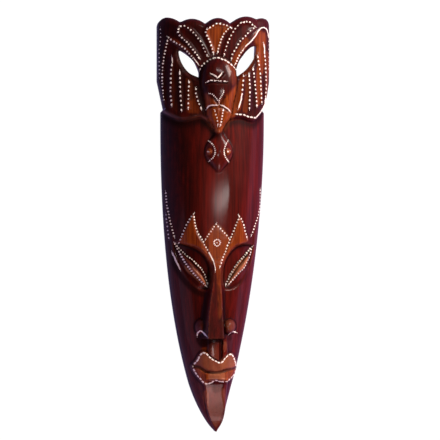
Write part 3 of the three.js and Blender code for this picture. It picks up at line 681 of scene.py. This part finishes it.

# Where the stain differs by hand, and where sheen and shade are painted: strength, softness of the edge,
# outline.
# Orange was left lighter, rubbed shows pink wood with painted sheen, and pooled holds stain with painted
# shade and shadow.
stainShadeAndSheenPatches = {
    "orange": [
        (0.9, 2.0, [(-5.6, 205.4), (-9.6, 218.5), (-13.5, 229), (-9, 235), (1.4, 239.6), (14, 235),
                    (7, 226), (1.2, 208)]),
        (0.9, 4.0, [(47.1, 231), (61, 231), (60.5, 205), (57, 180), (52, 186), (50, 197), (48.4, 206)]),
        (0.9, 2.5, [(50, 190), (54, 180), (55.5, 148), (50, 142), (48.5, 160), (48, 176)]),
        (0.7, 2.5, [(62, 210), (66, 206), (65.5, 170), (62, 150), (62.5, 180)]),
        (0.9, 3.0, [(22, 160), (27.5, 173), (31, 176), (30.5, 160), (27, 136), (19, 134), (18, 145)]),
        (0.6, 2.5, [(34, 178), (38, 177), (39, 150), (36, 134), (31, 136), (34, 156)]),
        (0.5, 3.0, [(29, 174), (40, 184), (46, 196), (50, 208), (45, 206), (38, 192), (28, 181)]),
        (0.9, 3.0, [(17, 190), (18.8, 198), (27.5, 214), (36.3, 224.5), (38, 216), (28.5, 203),
                    (21, 186.6)]),
        (0.6, 3.5, [(-37.2, 174.7), (-31.4, 172.2), (-26.9, 160.2), (-24.6, 148.3), (-20, 134), (-35, 134),
                    (-38, 154.4)]),
        (0.35, 4.0, [(-57, 222), (-49, 216), (-36, 206), (-30, 200), (-24, 188), (-26, 198), (-40, 214),
                     (-52, 222)]),
        (0.2, 4.0, [(-53, 190), (-46, 196), (-42, 186), (-40, 150), (-44, 134), (-52, 138), (-52, 160)]),
        (0.95, 5.0, [(-15, 156), (-8.1, 149), (-1, 146.5), (9.7, 154), (23, 166), (26, 153.7), (23.8, 135),
                     (16.4, 122), (7.3, 112), (-5.2, 112), (-13, 126), (-15, 140)]),
        (0.6, 4.0, [(8, 196), (20, 188), (23, 175), (18, 165), (12, 180)]),
        (0.8, 3.0, [(-28.5, 13), (-24.5, -7), (-14, -26.5), (-3.5, -50), (-24, -27.5), (-44.5, -21.5),
                    (-39, -6)]),
        (0.8, 3.0, [(27, 10), (34.5, -6.5), (39.5, -19.5), (20.5, -26.5), (3, -50), (11.3, -27.6),
                    (19, -10)]),
        (0.7, 3.0, [(-1.8, 1), (14, -16), (9.5, -32), (3, -50), (-3.5, -50), (-11, -32), (-14, -17)]),
        (0.55, 2.5, [(-3, -40), (2, -40), (3, -70), (2.5, -108), (-0.5, -112), (-1.5, -70)]),
        (1.0, 1.5, [(-26.7, -171.6), (-20.7, -171.3), (-10, -176.8), (-8.4, -186.9), (-12.7, -189.6),
                    (-18, -185.1), (-24, -178.5)]),
        (1.0, 1.5, [(8.2, -178.1), (26.8, -174.6), (23.9, -182.2), (16.7, -186.4), (9.2, -187.6)]),
        (0.75, 1.5, [(-14.2, -200), (-9.6, -199), (-8.2, -222), (-10.5, -222), (-13.3, -210.6)]),
        (0.85, 2.0, [(-18.5, -147.3), (-11.5, -146.2), (-10.2, -154.2), (-15.8, -152.2), (-19.5, -153.4)]),
        (1.0, 1.5, [(-13.5, 87), (-10, 91.5), (-6.8, 87), (-10, 82.5)]),
        (1.0, 1.5, [(9, 87), (12.4, 91.5), (15.8, 87), (12.4, 82.5)]),
    ],
    # pink wood where rubbed or coloured, and painted highlights and sheen on the nostrils, the ridges under
    # the nose, the chin, the middle of the lower lip and the lower lids
    "rubbedAndSheen": [
        (0.2, 4.0, [(10, -115), (21, -115.5), (23.5, -122), (19, -127), (11, -127)]),
        (0.12, 4.0, [(-22, -116), (-14.5, -113.5), (-14, -126), (-20, -124)]),
        (0.14, 2.5, [(-8, -141.5), (-1.5, -141.5), (1.5, -151), (1, -161), (-6.5, -154)]),
        (0.2, 2.0, [(7.8, -139.5), (11.6, -139.9), (11.6, -149.5), (8, -151.5)]),
        (0.24, 3.0, [(-12, -196), (10, -196), (13, -206), (9, -228), (3, -245), (-4, -232.6),
                     (-12.5, -208)]),
        (0.75, 1.5, [(-9.5, -177.6), (9.5, -176.6), (9.5, -187), (1.8, -185.6), (-7.3, -187.7)]),
        (0.45, 1.5, [(-26.8, -168.6), (-16.9, -152.1), (-7.3, -158.7), (3.2, -164.5), (4, -175.4),
                     (-10, -175.6)]),
        (0.6, 5.0, [(3.2, -164.5), (12.6, -155.8), (19.1, -155.1), (26.8, -170.7), (9.5, -175.2),
                    (4, -175.4)]),
        (0.1, 2.0, [(9, -178.5), (26, -175.4), (23, -181.8), (16, -185.8), (10, -187)]),
        (0.95, 2.0, [(-38, -47.7), (-28.4, -52), (-15.8, -64.3), (-11.6, -73), (-18.8, -69.8),
                     (-28.6, -60.9), (-36.1, -54.1)]),
        (1.0, 2.0, [(38.8, -39), (27.6, -45.2), (20.3, -54.5), (14.7, -65.2), (14.4, -70.3), (24.8, -60.3),
                    (36.2, -49.7)]),
    ],
    # painted shade and shadow, with some pooled stain: over the left wing, on and under the nose, round the
    # eyes and under the lips
    "pooledStainAndShade": [
        (0.4, 2.5, [(-3.5, -191.7), (7.4, -191.9), (6.6, -200.5), (-3.1, -200.3)]),
        (0.5, 6.0, [(-64, 236), (-52, 240), (-44, 232), (-36, 222), (-28, 208), (-36, 210), (-52, 222),
                    (-62, 222)]),
        (0.35, 5.0, [(-38, 232), (-24, 228), (-14, 210), (-22, 202), (-34, 218)]),
        (0.75, 5.0, [(-49.7, 193.9), (-41, 189.2), (-39.8, 160.4), (-40, 134.2), (-46.3, 134.3),
                     (-49.5, 163)]),
        (0.65, 3.0, [(-38.5, 177), (-29, 173), (-27.5, 151), (-34, 147), (-38.5, 151)]),
        (0.6, 3.0, [(-24.4, 165.1), (-17.8, 157.7), (-14.5, 140), (-18.5, 138.5), (-22.5, 152)]),
        (0.4, 4.0, [(-66, 212), (-60, 213), (-60, 149), (-63, 147), (-66, 173)]),
        (0.85, 2.5, [(-24, -135), (-15, -133.5), (-10, -139), (-12, -145), (-20, -145)]),
        (0.4, 2.0, [(-13, -134), (4, -134), (3, -104), (0.5, -72), (-3, -70), (-10, -100)]),
        (0.6, 2.5, [(12.5, -134), (17, -132), (19, -136), (16, -139), (12.5, -138)]),
        (0.95, 2.0, [(-15, -135.5), (6, -135.5), (8, -143), (3, -140.5), (-3, -139.5), (-12, -143),
                     (-22, -142)]),
        (0.9, 4.0, [(-51, -34), (-44.5, -52), (-33.5, -67), (-22, -77), (-12.5, -80), (-11.5, -86),
                    (-24, -84), (-36, -74), (-46, -60), (-52, -46)]),
        (0.5, 4.0, [(20, -72), (34, -63), (40, -55), (36, -66), (26, -74)]),
    ],
}


def placeOn(path, x, y):  # how far along the path a point lies, how far beside it, and the path's length
    best = np.full(x.shape, 1e6)
    along, off = np.zeros(x.shape), np.zeros(x.shape)
    run = 0.0
    for (ax, ay), (bx, by) in zip(path[:-1], path[1:]):
        dx, dy = bx - ax, by - ay
        size = math.hypot(dx, dy)
        t = clamp(((x - ax) * dx + (y - ay) * dy) / size**2)
        gap = np.hypot(x - ax - t * dx, y - ay - t * dy)
        closer = gap < best
        side = np.where(dx * (y - ay) - dy * (x - ax) < 0, -1.0, 1.0)
        best = np.where(closer, gap, best)
        along = np.where(closer, run + t * size, along)
        off = np.where(closer, side * gap, off)
        run += size
    return along, off, run


def addNode(tree, kind, links=(), **settings):  # links by name, or in the order of the live sockets
    node = tree.nodes.new(kind)
    for name, value in settings.items():
        setattr(node, name, value)
    if isinstance(links, dict):
        pairs = [(node.inputs[name], source) for name, source in links.items()]
    else:
        pairs = zip([socket for socket in node.inputs if socket.enabled], links)
    for target, source in pairs:
        if isinstance(source, bpy.types.Node):
            source = next(socket for socket in source.outputs if socket.enabled)
        if isinstance(source, bpy.types.NodeSocket):
            tree.links.new(source, target)
        else:
            target.default_value = source
    return node


def colour(hexCode, alpha=1.0):
    channels = [int(hexCode[i : i + 2], 16) / 255 for i in (1, 3, 5)]
    return (*[c / 12.92 if c <= 0.04045 else ((c + 0.055) / 1.055) ** 2.4 for c in channels], alpha)


def netOf(name, columns, rows, points):
    bpy.ops.mesh.primitive_grid_add(x_subdivisions=columns, y_subdivisions=rows, size=1)
    net = bpy.context.object
    net.name = name
    net.data.name = name
    net.data.vertices.foreach_set("co", (np.asarray(points) * mm).ravel())
    net.data.update()
    return net


def closeDown(floor):  # the net's open edge is drawn down to a flat floor and closed there
    mesh = bpy.context.object.data
    bpy.ops.object.mode_set(mode="EDIT")
    bpy.ops.mesh.select_mode(type="EDGE")
    bpy.ops.mesh.select_all(action="DESELECT")
    bpy.ops.mesh.select_non_manifold(extend=False)
    bpy.ops.mesh.extrude_edges_move()
    net = bmesh.from_edit_mesh(mesh)
    for vert in net.verts:
        if vert.select:
            vert.co.z = floor * mm
    bmesh.update_edit_mesh(mesh)
    bpy.ops.mesh.edge_face_add()
    bpy.ops.mesh.select_all(action="SELECT")
    bpy.ops.mesh.normals_make_consistent(inside=False)
    bpy.ops.object.mode_set(mode="OBJECT")


def pickOnly(thing):
    bpy.ops.object.select_all(action="DESELECT")
    bpy.context.view_layer.objects.active = thing
    thing.select_set(True)


def cutAway(body, cutter):
    pickOnly(body)
    cut = body.modifiers.new("cut", "BOOLEAN")
    cut.operation = "DIFFERENCE"
    cut.solver = "EXACT"
    cut.object = cutter
    bpy.ops.object.modifier_apply(modifier="cut")
    bpy.data.objects.remove(cutter)


print("carving the front")
netRows = [(-250, -195, 36), (-195, 12, 200), (12, 56, 28), (56, 140, 80), (140, 250, 112)]  # from, to, rows
netColumns = 156
scallopFoot, scallopRun = 185, 60  # from here up the rows bend into the scallops


def frontPlan(across, y):
    x = middle(y) + halfWidth(y) * np.sin(across * math.pi / 2)
    drop = (halfLength - crestTop(x)) * ease((y - scallopFoot) / scallopRun)
    return x, y - drop


rowPlaces = np.concatenate([np.linspace(a, b, n, endpoint=False) for a, b, n in netRows] + [[halfLength]])
acrossGrid, rowGrid = np.meshgrid(np.linspace(-1, 1, netColumns + 1), rowPlaces)
planX, planY = frontPlan(acrossGrid.ravel(), rowGrid.ravel())
frontPoints = np.column_stack([planX, planY, surface(planX, planY)])
mask = netOf("carved_mask", netColumns, len(rowPlaces) - 1, frontPoints)
closeDown(0)

print("hollowing the back")
backColumns, backRows = 24, 40
acrossLine = np.sin((np.linspace(0, 1, backColumns + 1) - 0.5) * math.pi)
acrossGrid, endGrid = np.meshgrid(acrossLine, -np.cos(np.linspace(0, math.pi, backRows + 1)))
backY = mix(carving["hollowFoot"], carving["hollowTop"], (1 + endGrid) / 2)
backEnds = halfRound(endGrid) ** carving["hollowEndPower"]
leastHalf, leastHeight = carving["hollowLeast"]
backHalf = (np.minimum(halfWidth(backY), carving["hollowEdge"]) - carving["rim"]) * backEnds
backX = middle(backY) + np.maximum(leastHalf, backHalf) * acrossGrid
squareness, fullness = carving["hollowPowers"]
backDepth = bodyDepth(np.minimum(backY, carving["hollowRoofTop"])) - carving["wall"]
backRoof = backDepth * backEnds * (1 - np.abs(acrossGrid) ** squareness) ** fullness
backPoints = np.column_stack([backX.ravel(), backY.ravel(), np.maximum(leastHeight, backRoof).ravel()])
cutter = netOf("hollow", backColumns, backRows, backPoints)
closeDown(carving["hollowCutFoot"])
cutAway(mask, cutter)

print("piercing the crest")
for outline in holes:
    corners = outline[:-1]
    bpy.ops.mesh.primitive_circle_add(vertices=len(corners), fill_type="NGON")
    cutter = bpy.context.object
    rim = np.column_stack([corners, np.full(len(corners), carving["holeCutTop"])])
    cutter.data.vertices.foreach_set("co", (rim * mm).ravel())
    cutter.data.update()
    centre = corners.mean(0)
    bpy.ops.object.mode_set(mode="EDIT")
    for depth, flare in ((carving["holeNeck"], 0), (carving["holeCutFoot"], carving["holeFlare"])):
        bpy.ops.mesh.select_mode(type="VERT")
        bpy.ops.mesh.extrude_region_move()
        net = bmesh.from_edit_mesh(cutter.data)
        for vert in net.verts:
            if vert.select:
                away = mathutils.Vector((vert.co.x - centre[0] * mm, vert.co.y - centre[1] * mm, 0))
                vert.co += away.normalized() * flare * mm
                vert.co.z = depth * mm
        bmesh.update_edit_mesh(cutter.data)
    bpy.ops.mesh.select_all(action="SELECT")
    bpy.ops.mesh.normals_make_consistent(inside=False)
    bpy.ops.object.mode_set(mode="OBJECT")
    cutAway(mask, cutter)

pickOnly(mask)
bpy.ops.object.shade_smooth_by_angle(angle=math.radians(carving["smoothAngle"]))
triangles = sum(len(polygon.vertices) - 2 for polygon in mask.data.polygons)
print("mask", len(mask.data.vertices), "points", triangles, "triangles")

print("laying out the paint")


def readOut(collection, name, width=1, kind=float):
    values = np.empty(len(collection) * width, kind)
    collection.foreach_get(name, values)
    return values.reshape(-1, width) if width > 1 else values


def writeLayer(name, values, domain):
    layer = mesh.attributes.new(name, "FLOAT_COLOR", domain)
    layer.data.foreach_set("color", values.ravel())


mesh = mask.data
points = readOut(mesh.vertices, "co", 3) / mm
centres = readOut(mesh.polygons, "center", 3) / mm
normals = readOut(mesh.polygons, "normal", 3)
cornerPoint = readOut(mesh.loops, "vertex_index", kind=int)
cornerFace = np.repeat(np.arange(len(mesh.polygons)), readOut(mesh.polygons, "loop_total", kind=int))

paths = [line(stations) for _, stations in paintLines]
nearest = np.full(len(centres), painting["reach"])
choice = np.full(len(centres), -1)
front = (normals[:, 2] > painting["frontNormal"]) & (centres[:, 2] > painting["frontHeight"])
for index, path in enumerate(paths):
    away = distanceTo(path, centres[:, 0], centres[:, 1], painting["reach"])
    closer = front & (away < nearest)
    nearest[closer] = away[closer]
    choice[closer] = index

# paintPlace: marks passed along the line, distance beside it, number of the line, 1 where there is a line.
# paintSize: spacing, radius and half stroke of the marks, 1 on the plain wood behind.
paintPlace = np.tile([0.0, 9.0, 0.0, 0.0], (len(cornerPoint), 1))
paintSize = np.tile([4.0, 0.0, 0.0, 0.0], (len(cornerPoint), 1))
paintSize[:, 3] = normals[cornerFace, 2] < painting["backNormal"]
cornerChoice = choice[cornerFace]
for index, path in enumerate(paths):
    pick = cornerChoice == index
    if not pick.any():
        continue
    pitch, radius, half = painting["marks"][paintLines[index][0]]
    x, y = points[cornerPoint[pick], :2].T
    along, off, total = placeOn(path, x, y)
    steps = max(1, round(total / pitch))
    if total < 1:  # a single spot
        along, off, total = x - path[0, 0], y - path[0, 1], painting["spotRoom"]
    passed = along / total * steps + (0.5 if half < 1 else 0)
    paintPlace[pick] = np.column_stack([passed, off, np.full(len(x), index), np.ones(len(x))])
    paintSize[pick, :3] = total / steps, radius, half
writeLayer("paintPlace", paintPlace, "CORNER")
writeLayer("paintSize", paintSize, "CORNER")

x, y, z = points.T
here = surface(x, y)
onFront = np.abs(z - here) < painting["frontGap"]


def cutDepth(distance, depth):  # how much higher the wood stands all round a point, as a share of the depth
    angles = np.arange(6) * math.pi / 3
    around = sum(surface(x + distance * math.cos(a), y + distance * math.sin(a)) for a in angles) / 6
    return (around - here) / depth


smallCut, wideCut = cutDepth(*painting["smallCut"]), cutDepth(*painting["wideCut"])
# pooled stain and painted shade darken the cuts
inCuts = clamp(smallCut) + painting["wideCutShare"] * clamp(wideCut)
below = ledge(x) - y  # distance below the crest's lower edge
# a painted shadow under the crest's lower edge
start, rise, end, fall, share = painting["ledgeShadow"]
shadowUnderLedge = share * ease((below - start) / rise) * (1 - ease((below - end) / fall))
# a painted sheen along the crest's lower edge
width, edge, softness, share = painting["ledgeSheen"]
sheenOnLedge = share * np.exp(-((below / width) ** 2)) * ease((edge - x) / softness)
onCrest = ease(-below / 3)
# painted shade: darker towards the left, weaker towards the chin
shadeEdge = mix(painting["faceShadeEdge"], painting["crestShadeEdge"], onCrest)
fromLeft = ease((shadeEdge - (x - middle(y))) / painting["shadeSoftness"])
chinY, chinRun, share = painting["chinShade"]
faceShade = fromLeft * mix(share, 1, ease((y - chinY) / chinRun))
stainShadeAndSheen = {  # the four channels of the layer, in order
    "orange": np.zeros(len(points)),
    "rubbedAndSheen": np.where(onFront, painting["edgeWear"] * clamp(-smallCut) + sheenOnLedge, 0),
    "pooledStainAndShade": np.where(onFront, np.maximum(inCuts, shadowUnderLedge), 0),
    "shade": np.maximum(faceShade, painting["crestShade"] * onCrest),
}
for channel, patches in stainShadeAndSheenPatches.items():
    for strength, soft, outline in patches:
        depth = depthInside(line(outline, True), x, y, soft + 1)
        amount = np.where(onFront, strength * ease(0.5 + depth / soft), 0)
        stainShadeAndSheen[channel] = np.maximum(stainShadeAndSheen[channel], amount)
writeLayer("stainShadeAndSheen", clamp(np.column_stack(list(stainShadeAndSheen.values()))), "POINT")

print("staining the wood")
# Softwood under dark red stain and a rubbed satin varnish. The grain shows as faint streaks, cut-in places
# hold more stain and painted shade and less polish, rubbed places show pink wood and painted sheen, painted
# shade darkens the left side, and the dots are matt white paint.
# Each pattern has its width and length in millimetres, and its detail. The real grain is finer than it is
# drawn here, as it would be lost at this size.
finish = {
    "patterns": {
        "grain": (2.33, 83.0, 3),
        "cloud": (8.7, 67.0, 2),         # uneven stain
        "chips": (5.88, 10.7, 2),        # marks of the knife
        "swell": (29.4, 36.75, 1),       # slow waves of a surface cut by hand
        "paintGrit": (1.111, 1.111, 1),  # ragged edge of the dots
    },
    "redDark": "#370602",
    "redLight": "#5e0e05",
    "cloudTone": "#2e0603",
    "orangeDark": "#5a1c05",
    "orangeLight": "#97420d",
    # pink rubbed wood, also the colour of the painted sheen
    "pinkWoodAndSheen": "#a4603f",
    # dark for pooled stain and for painted shade and shadow
    "deepStainAndShade": "#120302",
    "backDark": "#3b1c10",
    "backLight": "#63361f",
    "paint": "#fff4e6",
    "thinPaint": "#cdb2a2",
    "cloudShare": 0.55,
    "shadeShare": 0.8,
    "pooledStainAndShadeShare": 0.85,
    "paintShare": 0.94,
    "thinPaintShare": 0.35,
    "polish": (0.22, 0.03),       # weight of the varnish's shine in the open and in the cuts
    "varnishRoughness": 0.11,
    "roughness": (0.42, 0.66),    # stained wood, and paint or plain wood
    "specular": 0.06,             # the varnish over it carries the shine
    "relief": {"chips": 0.5, "grain": 0.16, "swell": 2.2, "paint": 0.12},
    "reliefDepth": 0.5,
    "reliefStrength": 0.6,
}
wood = bpy.data.materials.new("stained_varnished_wood")
wood.use_nodes = True
tree = wood.node_tree
tree.nodes.clear()
mathNode = "ShaderNodeMath"
rangeNode = "ShaderNodeMapRange"
mixNode = "ShaderNodeMix"
splitNode = "ShaderNodeSeparateColor"

coords = addNode(tree, "ShaderNodeTexCoord").outputs["Object"]
patterns = {}
for name, (width, length, detail) in finish["patterns"].items():
    stretched = addNode(tree, "ShaderNodeMapping", {"Vector": coords, "Scale": (1, width / length, 1)})
    patterns[name] = addNode(tree, "ShaderNodeTexNoise", {
        "Vector": stretched, "Scale": 1 / (width * mm), "Detail": detail, "Roughness": 0.55})
streak = addNode(tree, rangeNode, (patterns["grain"], 0.32, 0.7))

placeLayer = addNode(tree, "ShaderNodeAttribute", attribute_name="paintPlace")
sizeLayer = addNode(tree, "ShaderNodeAttribute", attribute_name="paintSize")
stainShadeAndSheenLayer = addNode(tree, "ShaderNodeAttribute", attribute_name="stainShadeAndSheen")
along, beside, number = addNode(tree, splitNode, (placeLayer,)).outputs
spacing, radius, half = addNode(tree, splitNode, (sizeLayer,)).outputs
orange, rubbedAndSheen, pooledStainAndShade = addNode(tree, splitNode, (stainShadeAndSheenLayer,)).outputs
onLine, onBack, shade = [layer.outputs["Alpha"] for layer in (placeLayer, sizeLayer, stainShadeAndSheenLayer)]

# Each mark is placed and sized a little by chance.
markCell = addNode(tree, mathNode, (along,), operation="FLOOR")
markName = addNode(tree, "ShaderNodeCombineXYZ", (markCell, number))
chance = addNode(tree, "ShaderNodeTexWhiteNoise", (markName,), noise_dimensions="2D").outputs["Color"]
chanceA, chanceB, chanceC = addNode(tree, splitNode, (chance,)).outputs
shift = addNode(tree, rangeNode, (chanceA, 0, 1, -painting["shift"], painting["shift"]))
beyond = along
for operation, *amount in (
    ("FRACT",), ("SUBTRACT", 0.5), ("ADD", shift), ("MULTIPLY", spacing),  # distance along from the middle
    ("ABSOLUTE",), ("SUBTRACT", half), ("MAXIMUM", 0.0),  # and from the end of the straight part
):
    beyond = addNode(tree, mathNode, (beyond, *amount), operation=operation)
sideStep = addNode(tree, rangeNode, (chanceB, 0, 1, -painting["sideStep"], painting["sideStep"]))
sideways = addNode(tree, mathNode, (beside, sideStep), operation="ADD")
fromMark = addNode(tree, "ShaderNodeCombineXYZ", (beyond, sideways))
fromMark = addNode(tree, "ShaderNodeVectorMath", (fromMark,), operation="LENGTH")
ragged = (-painting["ragged"], painting["ragged"])
raggedness = addNode(tree, rangeNode, (patterns["paintGrit"], 0.3, 0.7, *ragged))
fromMark = addNode(tree, mathNode, (fromMark, raggedness), operation="ADD")
fill = addNode(tree, rangeNode, (chanceC, 0, 1, *painting["fill"]))
markReach = addNode(tree, mathNode, (radius, fill), operation="MULTIPLY")
inMark = addNode(tree, mathNode, (markReach, fromMark), operation="SUBTRACT")
inMark = addNode(tree, rangeNode, (inMark, -painting["softEdge"], painting["softEdge"]))
painted = addNode(tree, mathNode, (inMark, onLine), operation="MULTIPLY")

# The stain patches, the painted sheen and the painted shade are broken up by the knife marks.
rubbedAndSheenChips = addNode(tree, rangeNode, (patterns["chips"], 0.35, 0.65, 0.75, 1.15))
rubbedAndSheenShare = addNode(tree, mathNode, (rubbedAndSheen, rubbedAndSheenChips), operation="MULTIPLY")
shadeChips = addNode(tree, rangeNode, (patterns["chips"], 0.35, 0.65, 0.7, 1.0))
shadeShare = addNode(tree, mathNode, (shade, shadeChips), operation="MULTIPLY")
# the painted shade is weaker on the orange
openWood = addNode(tree, mathNode, (orange, 0.8), operation="MULTIPLY")
openWood = addNode(tree, mathNode, (1.0, openWood), operation="SUBTRACT")
shadeShare = addNode(tree, mathNode, (shadeShare, openWood), operation="MULTIPLY")
shadeShare = addNode(tree, mathNode, (shadeShare, finish["shadeShare"]), operation="MULTIPLY")
pooledStainAndShadeShare = addNode(tree, mathNode, (pooledStainAndShade, finish["pooledStainAndShadeShare"]), operation="MULTIPLY")
paintShare = addNode(tree, mathNode, (painted, finish["paintShare"]), operation="MULTIPLY")
cloudShare = addNode(tree, rangeNode, (patterns["cloud"], 0.42, 0.66, 0.0, finish["cloudShare"]))
thinShare = addNode(tree, rangeNode, (chanceA, 0, 1, 0, finish["thinPaintShare"]))

tones = {name: colour(code) for name, code in finish.items() if isinstance(code, str)}
orangeTone = addNode(tree, mixNode, (streak, tones["orangeDark"], tones["orangeLight"]), data_type="RGBA")
backTone = addNode(tree, mixNode, (streak, tones["backDark"], tones["backLight"]), data_type="RGBA")
paintTone = addNode(tree, mixNode, (thinShare, tones["paint"], tones["thinPaint"]), data_type="RGBA")
woodTone = tones["redDark"]
for share, tone in (  # each tone lies over the ones before it
    (streak, tones["redLight"]),
    (cloudShare, tones["cloudTone"]),
    (orange, orangeTone),
    # pink rubbed wood and painted sheen
    (rubbedAndSheenShare, tones["pinkWoodAndSheen"]),
    # painted shade, and the crest's darker stain
    (shadeShare, tones["deepStainAndShade"]),
    # pooled stain and painted shade
    (pooledStainAndShadeShare, tones["deepStainAndShade"]),
    (paintShare, paintTone),
    (onBack, backTone),
):
    woodTone = addNode(tree, mixNode, (share, woodTone, tone), data_type="RGBA")

patterns["paint"] = painted
relief = 0.0
for name, height in finish["relief"].items():
    relief = addNode(tree, mathNode, (patterns[name], height, relief), operation="MULTIPLY_ADD")
bump = addNode(tree, "ShaderNodeBump", {
    "Height": relief, "Strength": finish["reliefStrength"], "Distance": finish["reliefDepth"] * mm})
matt = addNode(tree, mathNode, (painted, onBack), operation="ADD")
skin = addNode(tree, "ShaderNodeBsdfPrincipled", {
    "Base Color": woodTone,
    "Roughness": addNode(tree, rangeNode, (matt, 0, 1, *finish["roughness"])),
    "Normal": bump,
    "Coat Weight": addNode(tree, rangeNode, (pooledStainAndShade, 0, 0.8, *finish["polish"])),
    "Coat Roughness": finish["varnishRoughness"],
    "Specular IOR Level": finish["specular"],
})
addNode(tree, "ShaderNodeOutputMaterial", {"Surface": skin})
mesh.materials.clear()
mesh.materials.append(wood)

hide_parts("mask")
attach(mask, "root")

print("setting the table")
# White card, lit from within so that it stays an even white.
card = bpy.data.materials.new("white_card")
card.use_nodes = True
cardShader = card.node_tree.nodes["Principled BSDF"]
cardShader.inputs["Base Color"].default_value = (0.02, 0.02, 0.02, 1)
cardShader.inputs["Roughness"].default_value = 0.8
cardShader.inputs["Emission Color"].default_value = (1, 1, 1, 1)
cardShader.inputs["Emission Strength"].default_value = 1.0
bpy.ops.mesh.primitive_plane_add(size=6, location=(0, 0, -0.5 * mm))
floor = bpy.context.object
floor.name = "table"
floor.data.materials.append(card)
floor.visible_diffuse = False  # it shows white, and lends the wood no light
floor.visible_glossy = False

print("hanging the lamps")
# Direction from the mask, distance, width and length in metres, watts and tint of each lamp.
lamps = {
    "key": ((0.9, 0.78, 0.8), 1.6, (0.6, 0.6), 37, (1, 0.95, 0.9)),
    "above": ((0.228, 0.035, 0.98), 1.7, (0.05, 0.28), 1.7, (1, 0.92, 0.88)),  # the sheen on the forehead
    "crown": ((0.12, 0.5, 0.85), 1.7, (0.5, 0.07), 3.6, (1, 0.9, 0.88)),  # on the bird's head
    "ridges": ((0.07, -0.135, 0.98), 1.75, (0.1, 0.18), 1.6, (1, 0.88, 0.88)),  # between nose and lips
    "below": ((0.15, -0.66, 0.75), 1.6, (0.28, 0.42), 6.3, (1, 0.62, 0.63)),  # on the flat of the chin
    "left": ((-0.83, -0.55, 0.4), 1.6, (1.6, 1.2), 4.0, (0.9, 0.6, 0.9)),
    "right": ((1.0, -0.1, 0.2), 1.5, (2.0, 0.5), 4.0, (1, 0.5, 0.9)),
}
for name, (direction, distance, size, watts, tint) in lamps.items():
    lamp = bpy.data.lights.new(name, "AREA")
    lamp.shape = "RECTANGLE"
    lamp.size, lamp.size_y = size
    lamp.energy = watts
    lamp.color = tint
    light = bpy.data.objects.new(name, lamp)
    toward = np.array(direction, float) / np.linalg.norm(direction)
    light.location = toward * distance
    light.rotation_euler = mathutils.Vector(-toward).to_track_quat("-Z", "Y").to_euler()
    bpy.context.collection.objects.link(light)

# A dim studio with a blue and violet glow low down on the left and a purple one on the right, dark overhead.
# Its backdrop is white.
world = bpy.context.scene.world or bpy.data.worlds.new("world")
bpy.context.scene.world = world
world.use_nodes = True
sky = world.node_tree
sky.nodes.clear()
facing = addNode(sky, "ShaderNodeTexCoord").outputs["Generated"]
acrossSky, alongSky, upSky = addNode(sky, "ShaderNodeSeparateXYZ", (facing,)).outputs
glow = (0.1, 0.14, 0.34, 1)
for direction, start, end, tone in (
    (alongSky, 0.3, -0.5, (0.38, 0.27, 0.6, 1)),
    (acrossSky, -0.5, 0.5, (0.46, 0.24, 0.58, 1)),
    (upSky, 0.0, 0.7, (0.03, 0.03, 0.03, 1)),
):
    share = addNode(sky, rangeNode, (direction, start, end))
    glow = addNode(sky, mixNode, (share, glow, tone), data_type="RGBA")
seen = addNode(sky, "ShaderNodeLightPath").outputs["Is Camera Ray"]
glow = addNode(sky, mixNode, (seen, glow, (1, 1, 1, 1)), data_type="RGBA")
background = addNode(sky, "ShaderNodeBackground", {"Color": glow, "Strength": 1.0})
addNode(sky, "ShaderNodeOutputWorld", {"Surface": background})
bpy.context.scene.view_settings.view_transform = "Standard"
bpy.context.scene.view_settings.look = "None"

print("placing the camera")
# Its turn to the left of straight above is in degrees. The rest is in millimetres.
camera = {"turn": 9.0, "distance": 2200.0, "frameWidth": 531.4, "target": (7.98, 5.73, 15.0)}
turn = math.radians(camera["turn"])
eye = bpy.data.objects.new("camera", bpy.data.cameras.new("camera"))
eye.data.lens = eye.data.sensor_width * camera["distance"] / camera["frameWidth"]
eye.location = (
    (camera["target"][0] - camera["distance"] * math.sin(turn)) * mm,
    camera["target"][1] * mm,
    (camera["target"][2] + camera["distance"] * math.cos(turn)) * mm,
)
eye.rotation_euler = (0, -turn, 0)
bpy.context.collection.objects.link(eye)
bpy.context.scene.camera = eye
